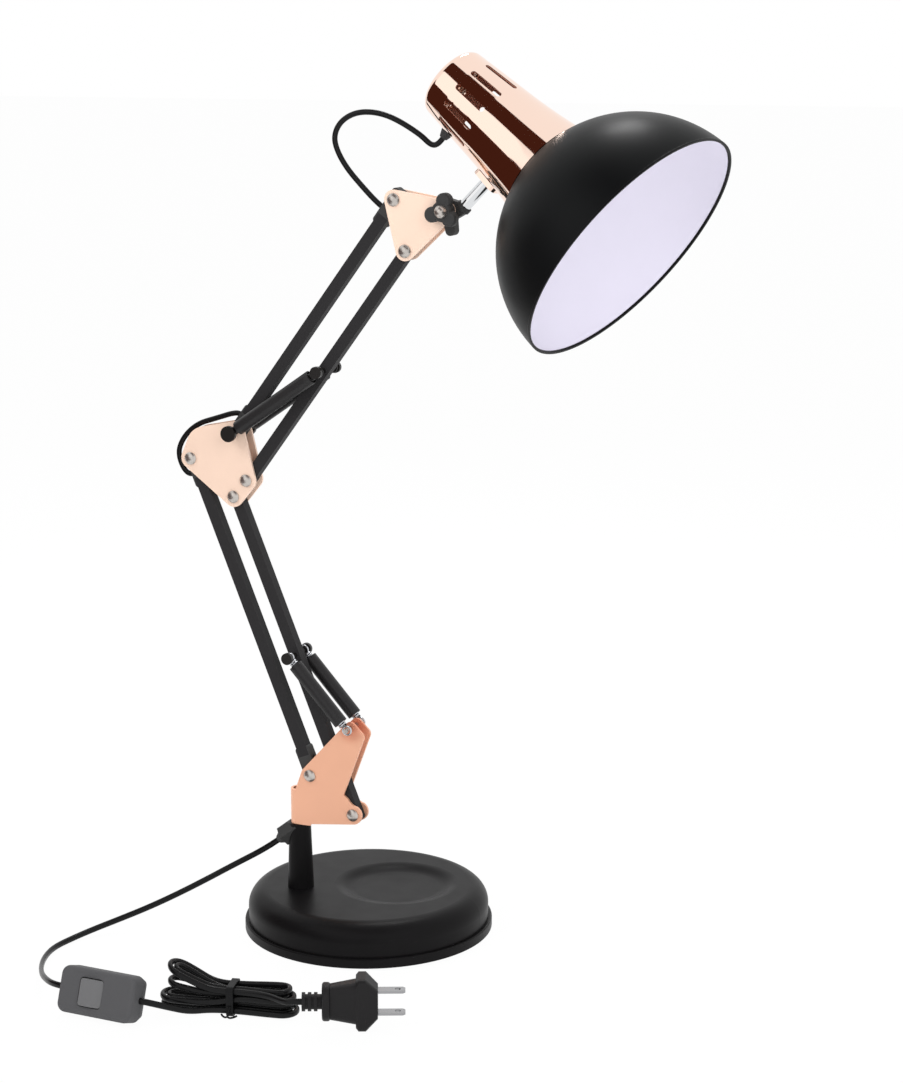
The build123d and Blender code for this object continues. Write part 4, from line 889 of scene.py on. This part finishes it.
@dataclass
class SupplyCord:
    """The cord from the post to the switch, the tied hank and the plug."""

    palette: Palette
    width: float = 3.6 * MM
    thickness: float = 3.1 * MM
    supply_length: float = 255.0 * MM
    hank_length: float = 1030.0 * MM
    gland_tip: Vector = Vector((-50.715, -18.614, 53.518)) * MM
    gland_way: Vector = Vector((-0.788, 0.0, -0.616))
    gland_run: float = 11.0 * MM
    switch_left: Vector = Vector((-102.37, -183.40, 13.077)) * MM
    switch_right: Vector = Vector((-54.83, -185.80, 13.077)) * MM
    switch_run_in: float = 9.0 * MM
    switch_run_out: float = 4.0 * MM
    hank_yaw: float = math.radians(12.5)
    hank_centre: Vector = Vector((-18.0, -152.0, 0.0)) * MM
    half_run: float = 31.5 * MM
    pitch: float = 3.75 * MM
    inner: float = 2.9 * MM
    waist: float = 1.9 * MM
    waist_half: float = 8.0 * MM
    lead: float = 5.0 * MM
    lift: float = 1.3 * MM
    left_step: float = 2.0 * MM
    right_step: float = 0.8 * MM
    floor: float = 3.0 * MM
    plug_gap: float = 14.15 * MM
    plug_shift: float = 7.95 * MM
    plug_height: float = 15.2 * MM
    plug_yaw: float = math.radians(23.0)
    plug_run: float = 7.0 * MM
    last_run: float = 4.0 * MM
    # Each entry point: along in metres, then out and up in pitches.
    entry: tuple[Point, Point] = ((3.0 * MM, 1.8, 0.8), (12.0 * MM, 0.8, 0.0))
    corners: int = 4
    tail: float = 1.1 * MM

    def supply_points(self) -> list[Vector]:
        """The way from the gland, down behind the post and along the surface to the switch.

        Returns:
            The cord's points.
        """
        way = (self.switch_right - self.switch_left).normalized()
        route = [
            (-78.6, -25.2, 35.6), (-92.9, -33.2, 27.2), (-107.9, -43.5, 19.0), (-122.3, -55.2, 12.2),
            (-135.6, -68.0, 7.2), (-146.2, -81.2, 3.8), (-152.9, -95.2, 1.9), (-155.2, -110.2, 1.9),
            (-152.2, -125.0, 2.1), (-145.4, -140.2, 3.3), (-136.0, -155.4, 5.9), (-125.4, -169.2, 9.5),
        ]
        begin = [self.gland_tip, self.gland_tip + self.gland_way * self.gland_run]
        finish = [self.switch_left - way * self.switch_run_in, self.switch_left]
        return begin + [Vector(point) * MM for point in route] + finish

    def runs(self) -> list[tuple[float, float, float]]:
        """The hank's runs, in the order in which the cord takes them.

        Returns:
            Each run's side, and its height at both ends.
        """
        order = [3, 2, 1, 0, 1, 2, 3, 2, 1, 0, 1, 2, 3]
        climbing = (3, 6, 9)
        found = []
        layer = 0
        for index, step in enumerate(order):
            side = (-1 if index % 2 == 0 else 1) * (self.inner + self.pitch / 2 * step)
            after = layer + (1 if index in climbing else 0)
            found.append((side, self.floor + self.pitch * layer, self.floor + self.pitch * after))
            layer = after
        return found

    def reach(self, level: float, right: bool) -> float:
        """How far from the middle the runs at one height reach."""
        layer = (level - self.floor) / self.pitch
        return self.half_run - layer * (self.right_step if right else self.left_step)

    def slope(self, level: float) -> float:
        """How steeply the loose left ends at one height rise."""
        layer = (level - self.floor) / self.pitch
        return self.lift * layer ** 2 / (self.half_run - self.waist_half)

    def run_points(self, side: float, low: float, high: float, forward: bool) -> list[Vector]:
        """One run, drawn in at its waist and fanned out at its left end.

        Args:
            side: Its distance from the middle.
            low: Its height at the start.
            high: Its height at the end.
            forward: Whether it goes to the right.

        Returns:
            The run's points, in the hank's own frame.
        """
        drawn = side - math.copysign(self.waist, side)
        left, right = (low, high) if forward else (high, low)
        left_end = self.reach(left, False) - self.lead
        right_end = self.reach(right, True) - self.lead
        rise = self.slope(left) * (left_end - self.waist_half)
        places = [(-left_end, side, left + rise), (-self.waist_half, drawn, left),
                  (self.waist_half, drawn, right), (right_end, side, right)]
        points = [Vector(place) for place in places]
        return points if forward else points[::-1]

    def turn_points(self, side: float, other: float, level: float, right: bool) -> list[Vector]:
        """The half turn from one run to the next.

        Args:
            side: The first run's distance from the middle.
            other: The second run's.
            level: Their height at that end.
            right: Whether it is the right end.

        Returns:
            The turn's points, in the hank's own frame.
        """
        end = self.reach(level, right)
        rise = 0.0 if right else self.slope(level)
        way = 1 if right else -1
        base = level + rise * (end - self.waist_half)
        middle = (side + other) / 2
        share = math.pi / self.corners
        outside = (other - side) / 2 / math.cos(share / 2)
        points = []
        for index in range(self.corners):
            angle = -math.pi / 2 + share * (index + 0.5)
            bulge = abs(outside) * math.cos(angle) / math.hypot(1.0, rise)
            across = middle + outside * math.sin(angle)
            points.append(Vector((way * (end + bulge), across, base + rise * bulge)))
        return points

    def hank_points(self) -> list[Vector]:
        """The way from the switch through the hank's folds to the plug.

        Returns:
            The cord's points.
        """
        place = Matrix.Translation(self.hank_centre) @ Matrix.Rotation(self.hank_yaw, 4, "Z")
        inverse = place.inverted()
        way_in = (self.switch_right - self.switch_left).normalized() * self.switch_run_out
        runs = self.runs()
        last_side, _, top = runs[-1]
        plug_side = last_side - self.plug_shift
        finish = Vector((self.half_run + self.plug_gap, plug_side, self.plug_height))
        turn = self.plug_yaw - self.hank_yaw
        way_out = Vector((math.cos(turn), math.sin(turn), 0.0)) * self.plug_run
        side, low, _ = runs[0]
        points = [inverse @ self.switch_right, inverse @ (self.switch_right + way_in)]
        for along, out, up in self.entry:
            points.append(Vector((along - self.half_run, side - self.pitch * out, low + self.pitch * up)))
        for index, (side, low, high) in enumerate(runs):
            forward = index % 2 == 0
            run = self.run_points(side, low, high, forward)
            points += run[1:] if index == 0 else run
            if index < len(runs) - 1:
                points += self.turn_points(side, runs[index + 1][0], high, forward)
        points += [Vector((self.half_run + self.last_run, plug_side, top)), finish - way_out, finish]
        return [place @ point for point in points]

    def tails(self) -> bpy.types.Object:
        """The tie's two twisted ends, which lie spread in front of the hank.

        Returns:
            Both ends as one piece.
        """
        knot = [(-13.9, -160.9, 6.6), (-13.0, -161.9, 3.6)]
        other_knot = [(-12.5, -160.9, 6.6), (-13.4, -162.3, 3.6)]
        left = knot + [(-13.2, -163.2, 1.0), (-16.2, -162.6, 0.8), (-17.8, -161.0, 1.4)]
        right = other_knot + [(-12.8, -163.6, 1.0), (-10.2, -162.0, 0.8), (-8.6, -160.2, 1.6)]
        made = []
        for name, points in (("tie_tails", left), ("tie_tail_right", right)):
            places = [Vector(point) * MM for point in points]
            made.append(Route(name, places, self.tail, self.tail, twist="MINIMUM").build())
        piece = Bench.join(made)
        self.palette.paint(piece, Slot.TIE)
        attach(piece, Body.BASE.value)
        return piece

    def build(self) -> None:
        """Makes both cords and the tie's ends, and logs how many points each cord follows."""
        supply = Route("supply_flex", self.supply_points(), self.width, self.thickness)
        hank = Route("hank_flex", self.hank_points(), self.width, self.thickness)
        on_hank = ["plug_body", "plug_blades", "hank_tie", self.tails()]
        for route, node in ((supply, "supply_cord"), (hank, "cord_hank")):
            piece = route.build()
            self.palette.paint(piece, Slot.CORD)
            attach(piece, Body.BASE.value)
            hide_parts(node)
            coiled = node == "cord_hank"
            LOG.info("%s follows %d points", piece.name, len(route.path))


@dataclass
class ArmLeads:
    """The lead's open loops at the fork, the elbow and the head."""

    palette: Palette
    arm: ArmPoints
    dome: Dome
    width: float = 3.2 * MM
    thickness: float = 2.9 * MM
    port_distance: float = 9.0 * MM
    port_side: float = 4.4 * MM
    groove: float = 0.06
    spigot_height: float = 80.0 * MM
    mouth_run: float = 5.0 * MM
    elbow_run: float = 2.6 * MM
    bush_run: float = 4.6 * MM
    bush_tip: Vector = Vector((27.16, 0.0, 128.5)) * MM

    def port(self, pivot: Vector, way: Vector, side: int) -> tuple[Vector, Vector]:
        """The mouth of a rod's cord port, and the way out of it."""
        left = Vector((-way.z, 0.0, way.x)) * side
        return pivot + way * self.port_distance + left * self.port_side, left

    def fork_points(self) -> list[Vector]:
        """The way from the spigot into the lower rear rod.

        Returns:
            The lead's points.
        """
        mouth, way = self.port(self.arm.fork_rear, self.arm.lower, -1)
        low = Vector((self.arm.post.x, self.arm.post.y, self.spigot_height))
        rises = [(0.0, 0.0), (0.0, 4.0), (4.5, 8.0)]
        bends = [(3.2, -10.4), (6.8, -6.0), (6.8, 0.8)]
        points = [low + Vector((x, 0.0, z)) * MM for x, z in rises]
        points += [self.arm.fork_rear + Vector((x, 0.0, z)) * MM for x, z in bends]
        return points + [mouth + way * self.mouth_run, mouth]

    def elbow_points(self) -> list[Vector]:
        """The open loop behind the elbow, from the upper rod to the lower rod.

        Returns:
            The lead's points.
        """
        upper, upper_way = self.port(self.arm.elbow_top, self.arm.upper, 1)
        lower, lower_way = self.port(self.arm.elbow_rear, -self.arm.lower, -1)
        bends = [(15.0, 24.2), (2.4, 20.2), (-7.2, 11.8), (-11.8, 1.0)]
        points = [upper, upper + upper_way * self.elbow_run]
        points += [self.arm.elbow_rear + Vector((x, 0.0, z)) * MM for x, z in bends]
        return points + [lower + lower_way * self.mouth_run, lower]

    def head_points(self) -> list[Vector]:
        """The open loop at the head, from the upper rod to the bush in the socket cover.

        Returns:
            The lead's points.
        """
        mouth, way = self.port(self.arm.head_rear, -self.arm.upper, -1)
        place = self.dome.place
        bush = place @ self.bush_tip
        bush_way = place.to_3x3() @ Vector((1.0, 0.0, 0.0))
        bends = [(-21.4, 6.7), (-30.6, 16.4), (-36.8, 26.4), (-38.6, 34.6), (-34.4, 42.6), (-25.4, 47.6),
                 (-14.0, 48.2), (-2.0, 45.2)]
        points = [mouth, mouth + way * self.mouth_run]
        points += [self.arm.head_rear + Vector((x, 0.0, z)) * MM for x, z in bends]
        approach = [(-13.8, 0.0, 2.0), (-7.3, 0.0, -4.0)]
        points += [bush + Vector(offset) * MM for offset in approach]
        return points + [bush + bush_way * self.bush_run, bush]

    @staticmethod
    def split(points: list[Vector], cuts: list[int]) -> list[list[Vector]]:
        """Cuts a route in the middle of some of its straight runs.

        Args:
            points: The route.
            cuts: The point before each cut, counted from 0.

        Returns:
            One route for each length.
        """
        pieces = []
        begin: list[Vector] = []
        first = 0
        for cut in cuts:
            middle = (points[cut] + points[cut + 1]) * 0.5
            pieces.append(begin + points[first:cut + 1] + [middle])
            begin = [middle]
            first = cut + 1
        pieces.append(begin + points[first:])
        return pieces

    def make(self, node: str, points: list[Vector]) -> None:
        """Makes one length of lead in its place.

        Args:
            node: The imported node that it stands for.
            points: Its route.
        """
        route = Route(node + "_flex", points, self.width, self.thickness, self.groove, twist="MINIMUM")
        piece = route.build()
        self.palette.paint(piece, Slot.LEAD)
        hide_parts(node)
        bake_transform(piece)

    def build(self) -> None:
        """Makes the three loops, cut where they cross a joint."""
        self.make("fork_lead", self.fork_points())
        upper, lower = self.split(self.elbow_points(), [3])
        self.make("elbow_lead_upper", upper)
        self.make("elbow_lead_lower", lower)
        low, middle, high = self.split(self.head_points(), [4, 8])
        self.make("head_lead_lower", low)
        self.make("head_lead_middle", middle)
        self.make("head_lead_upper", high)


@dataclass
class SpringPair:
    """A pair of sleeved springs, one on each side of the arm."""

    palette: Palette
    name: str
    start: Vector
    end: Vector
    bodies: tuple[Body, Body]
    wire_slot: Slot
    side: float = 9.9 * MM
    wire: float = 1.2 * MM
    coil: float = 2.0 * MM
    loop: float = 2.6 * MM
    sleeve: float = 4.2 * MM
    sleeve_wall: float = 0.8 * MM
    sleeve_start: float = 5.6 * MM
    sleeve_edge: float = 0.25 * MM
    sleeve_sides: int = 28
    steps: int = 14
    turns: int = 4
    spacing: float = 1.1

    def ends(self, side: int) -> tuple[Vector, Vector]:
        """The two anchors on one side of the arm."""
        across = Vector((0.0, 1.0, 0.0)) * side * self.side
        return self.start + across, self.end + across

    def make_sleeve(self, side: int) -> bpy.types.Object:
        """One sleeve, open at both ends.

        Args:
            side: 1 or -1, for the side of the arm.

        Returns:
            The sleeve in its place.
        """
        low, high = self.ends(side)
        way = (high - low).normalized()
        length = (high - low).length - 2 * self.sleeve_start
        Bench.clear()
        radius = self.sleeve - self.sleeve_wall / 2
        bpy.ops.mesh.primitive_circle_add(vertices=self.sleeve_sides, radius=radius)
        made = Bench.current(self.name + "_sleeve")
        bpy.ops.object.mode_set(mode="EDIT")
        bpy.ops.mesh.select_all(action="SELECT")
        for _ in range(self.steps):
            bpy.ops.mesh.extrude_region_move(TRANSFORM_OT_translate={"value": (0, 0, length / self.steps)})
        bpy.ops.object.mode_set(mode="OBJECT")
        Bench.tidy(made)
        Bench.apply(made, "SOLIDIFY", {"thickness": self.sleeve_wall, "offset": 0.0})
        Bench.apply(made, "BEVEL", {"width": self.sleeve_edge, "segments": 2, "limit_method": "ANGLE"})
        Bench.smooth(made, angle=40.0)
        return Bench.settle(made, Bench.turned_to(low + way * self.sleeve_start, way))

    def make_wire(self, side: int) -> bpy.types.Object:
        """One spring's open ends: a few turns and a loop at each anchor.

        Args:
            side: 1 or -1, for the side of the arm.

        Returns:
            The ends in their places, as one piece.
        """
        low, high = self.ends(side)
        way = (high - low).normalized()
        rise = self.wire * self.spacing
        coil = Bench.ring(self.name + "_coil", self.coil, self.wire, sides=8, steps=20,
                          rise=rise, turns=self.turns)
        begin = self.loop + self.wire / 2
        finish = (high - low).length - begin - rise * self.turns
        near = Bench.turned_to(low + way * begin, way)
        far = Bench.turned_to(low + way * finish, way)
        coils = Bench.copies(coil, [near, far])
        loop = Bench.ring(self.name + "_loop", self.loop, self.wire, sides=8, steps=28)
        flat = Vector((0.0, 1.0, 0.0))
        loops = Bench.copies(loop, [Bench.turned_to(anchor, flat, way) for anchor in (low, high)])
        return Bench.join([coils, loops])

    def build(self) -> None:
        """Makes both springs and their sleeves, and hides the imported ones."""
        sleeves = Bench.join([self.make_sleeve(-1), self.make_sleeve(1)])
        wires = Bench.join([self.make_wire(-1), self.make_wire(1)])
        parts = ((sleeves, "_sleeves", Slot.SLEEVE), (wires, "_springs", self.wire_slot))
        for piece, ending, slot in parts:
            piece.name = self.name + ending + "_fine"
            self.palette.paint(piece, slot)
            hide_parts(self.name + ending)
            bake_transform(piece)


@dataclass
class SmallFittings:
    """The rim's bead, the cover's screw and the lamp holder's thread."""

    palette: Palette
    dome: Dome
    bead: float = 1.7 * MM
    screw_radius: float = 1.9 * MM
    screw_height: float = 1.0 * MM
    screw_station: float = 83.0 * MM
    screw_angle: float = math.radians(37.0)
    screw_sides: int = 24
    screw_edge: float = 0.2 * MM
    screw_sunk: float = 0.6 * MM
    socket_share: float = 0.5
    socket_depth: float = 0.6 * MM
    cover_radius: float = 26.0 * MM
    thread_radius: float = 13.2 * MM
    thread_wire: float = 1.0 * MM
    thread_pitch: float = 3.6 * MM
    thread_turns: int = 5
    thread_station: float = 64.5 * MM

    def rim_bead(self) -> None:
        """The shade's rolled edge."""
        bead = Bench.ring("rim_bead", self.dome.radius - self.bead / 2, self.bead, sides=12, steps=128)
        Bench.settle(bead, self.dome.place @ Matrix.Translation((0, 0, self.bead / 2)))
        self.palette.paint(bead, Slot.SATIN_BLACK)
        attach(bead, Body.HEAD.value)

    def screw(self) -> None:
        """The small screw in the socket cover, with a round socket in its head."""
        Bench.clear()
        bpy.ops.mesh.primitive_circle_add(vertices=self.screw_sides, radius=self.screw_radius,
                                          fill_type="NGON")
        made = Bench.current("cover_screw")
        bpy.ops.object.mode_set(mode="EDIT")
        bpy.ops.mesh.select_all(action="SELECT")
        length = self.screw_height + self.screw_sunk
        bpy.ops.mesh.extrude_region_move(TRANSFORM_OT_translate={"value": (0, 0, length)})
        bpy.ops.mesh.inset(thickness=self.screw_radius * self.socket_share)
        bpy.ops.mesh.extrude_region_move(TRANSFORM_OT_translate={"value": (0, 0, -self.socket_depth)})
        bpy.ops.object.mode_set(mode="OBJECT")
        Bench.tidy(made)
        Bench.apply(made, "BEVEL", {"width": self.screw_edge, "segments": 2, "limit_method": "ANGLE"})
        Bench.smooth(made)
        out = Vector((math.cos(self.screw_angle), math.sin(self.screw_angle), 0.0))
        foot = out * (self.cover_radius - self.screw_sunk) + Vector((0.0, 0.0, self.screw_station))
        Bench.settle(made, self.dome.place @ Bench.turned_to(foot, out, Vector((0, 0, 1))))
        self.palette.paint(made, Slot.COPPER)
        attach(made, Body.HEAD.value)

    def thread(self) -> None:
        """The thread inside the lamp holder's screw shell."""
        thread = Bench.ring("shell_thread", self.thread_radius, self.thread_wire, sides=8, steps=40,
                            rise=self.thread_pitch, turns=self.thread_turns)
        Bench.settle(thread, self.dome.place @ Matrix.Translation((0, 0, self.thread_station)))
        self.palette.paint(thread, Slot.BRASS_PARTS)
        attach(thread, Body.HEAD.value)

    def build(self) -> None:
        """Makes every small fitting."""
        self.rim_bead()
        self.screw()
        self.thread()


@dataclass
class Studio:
    """The camera, the lights, the floor and what polished metal reflects."""

    eye: Point = (0.57232, -1.28402, 0.53657)
    turn: float = math.radians(21.97)
    pitch: float = math.radians(11.99)
    lens: float = 80.96
    sensor: float = 36.0
    nearest: float = 0.01
    room: float = 0.55
    floor_glow: float = 0.97
    floor_side: float = 30.0
    light_aim: Point = (0.05, -0.05, 0.3)
    target: Point = (0.09, -0.02, 0.48)
    card_distance: float = 0.66

    def camera(self) -> None:
        """Sets up the camera."""
        data = bpy.data.cameras.new("camera")
        data.lens = self.lens
        data.sensor_width = self.sensor
        data.clip_start = self.nearest
        made = bpy.data.objects.new("camera", data)
        made.location = self.eye
        made.rotation_euler = (math.pi / 2 - self.pitch, 0.0, self.turn)
        bpy.context.collection.objects.link(made)
        bpy.context.scene.camera = made

    def world(self) -> None:
        """A white room, plain white to the camera and in reflections."""
        world = bpy.data.worlds.new("room")
        bpy.context.scene.world = world
        graph = Graph(world)
        rays = graph.node("ShaderNodeLightPath")
        seen = graph.math("MAXIMUM", graph.wire(rays, "Is Camera Ray"), graph.wire(rays, "Is Glossy Ray"))
        seen = graph.math("MAXIMUM", seen, graph.wire(rays, "Is Transmission Ray"))
        room = graph.shader("ShaderNodeBackground", {"Color": WHITE, "Strength": self.room})
        plain = graph.shader("ShaderNodeBackground", {"Color": WHITE})
        mixed = graph.shader("ShaderNodeMixShader", {0: seen, 1: room, 2: plain})
        graph.end(mixed, "ShaderNodeOutputWorld")

    def light(self, name: str, place: Point, size: float, power: float, shine: bool = False,
              spread: bool = True) -> None:
        """One soft light that faces the lamp.

        Args:
            name: The light's name.
            place: Where it stands.
            size: Its side.
            power: Its power in watts.
            shine: Whether reflections show it.
            spread: Whether it lights matt surfaces.
        """
        data = bpy.data.lights.new(name, "AREA")
        data.shape = "SQUARE"
        data.size = size
        data.energy = power
        made = bpy.data.objects.new(name, data)
        made.location = place
        facing = Vector(self.light_aim) - Vector(place)
        made.rotation_euler = facing.to_track_quat("-Z", "Y").to_euler()
        made.visible_glossy = shine
        made.visible_diffuse = spread
        bpy.context.collection.objects.link(made)

    def card(self, name: str, first: Point, last: Point, width: float, colour: Colour,
             strength: float = 1.0) -> None:
        """A card that only reflections show.

        Args:
            name: The card's name.
            first: The direction from the socket cover to one end.
            last: The direction to the other end.
            width: Its width across.
            colour: Its colour.
            strength: How bright it is, where the room is 1.
        """
        Bench.clear()
        bpy.ops.mesh.primitive_plane_add(size=1.0)
        made = Bench.current(name)
        begin = Vector(first).normalized()
        finish = Vector(last).normalized()
        middle = (begin + finish).normalized()
        along = (finish - begin).normalized()
        turn = Matrix((along, middle.cross(along), middle)).transposed().to_4x4()
        length = 2 * self.card_distance * math.tan(begin.angle(finish) / 2)
        place = Matrix.Translation(Vector(self.target) + middle * self.card_distance)
        Bench.settle(made, place @ turn @ Matrix.Diagonal((length, width, 1.0, 1.0)))
        graph = Graph(bpy.data.materials.new(name))
        graph.end(graph.shader("ShaderNodeEmission", {"Color": colour, "Strength": strength}))
        made.data.materials.append(graph.owner)
        made.visible_camera = False
        made.visible_diffuse = False
        made.visible_shadow = False
        made.visible_transmission = False

    def floor(self) -> None:
        """A pale floor that keeps the lamp's soft shadow."""
        Bench.clear()
        bpy.ops.mesh.primitive_plane_add(size=self.floor_side)
        made = Bench.current("floor")
        graph = Graph(bpy.data.materials.new("pale_floor"))
        matt = graph.shader("ShaderNodeBsdfDiffuse", {"Color": tone(252, 252, 252)})
        glow = graph.shader("ShaderNodeEmission", {"Strength": 1.0})
        rays = graph.node("ShaderNodeLightPath")
        seen = graph.wire(rays, "Is Camera Ray") + graph.wire(rays, "Is Glossy Ray")
        graph.end(graph.shader("ShaderNodeMixShader", {0: self.floor_glow * seen, 1: matt, 2: glow}))
        made.data.materials.append(graph.owner)

    def build(self) -> None:
        """Sets up the whole studio."""
        self.world()
        self.floor()
        self.light("key", (-1.1, -1.3, 1.6), size=1.4, power=23.0)
        self.light("fill", (1.6, -1.2, 1.3), size=1.6, power=18.0)
        self.light("back", (-0.23, 0.85, 1.12), size=0.7, power=11.0)
        self.light("sheen", (-0.06, 0.467, 1.235), size=0.22, power=3.0, shine=True, spread=False)
        brown = tone(66, 32, 22)
        cream = (1.0, 0.98, 0.97, 1.0)
        wide = 1.1
        narrow = 0.5
        self.card("card_low", (-0.822, 0.015, -0.569), (-0.615, -0.783, -0.091), wide, brown)
        self.card("card_light", (-0.573, -0.819, -0.028), (-0.159, -0.842, 0.515), narrow, cream,
                  strength=1.2)
        self.card("card_high", (-0.098, -0.805, 0.584), (0.208, -0.423, 0.882), wide, brown)
        bpy.context.scene.view_settings.view_transform = "Standard"


class Lamp:
    """The whole lamp."""

    def __init__(self, frame: dict) -> None:
        """Reads the frame and prepares the finishes.

        Args:
            frame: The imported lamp.
        """
        self.frame = frame
        self.arm = ArmPoints(frame)
        self.dome = Dome(frame)
        self.palette = Palette(self.dome.paint(), self.dome.plating(), self.arm.hook)

    def springs(self) -> list[SpringPair]:
        """The arm's springs.

        Returns:
            The lower and the upper pair.
        """
        lower_pin = self.arm.fork_front + self.arm.lower * self.arm.lower_pin_reach
        upper_pin = self.arm.elbow_low + self.arm.upper * self.arm.upper_pin_reach
        lower = SpringPair(self.palette, "lower", self.arm.hook, lower_pin,
                           (Body.FORK, Body.LOWER_FRONT), Slot.SPRING_WIRE)
        upper = SpringPair(self.palette, "upper", self.arm.elbow_top, upper_pin,
                           (Body.ELBOW, Body.UPPER_FRONT), Slot.BLACK_PIN)
        return [lower, upper]

    def build(self) -> None:
        """Makes the cords first, then the finishes and the small pieces."""
        SupplyCord(self.palette).build()
        ArmLeads(self.palette, self.arm, self.dome).build()
        self.palette.dress(self.frame)
        for pair in self.springs():
            pair.build()
        SmallFittings(self.palette, self.dome).build()


def main() -> None:
    """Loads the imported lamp, dresses it and sets up its studio."""
    logging.basicConfig(level=logging.INFO, format="%(name)s: %(message)s")
    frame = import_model()
    studio = Studio()
    studio.camera()
    Lamp(frame).build()
    studio.build()


if __name__ == "__main__":
    main()
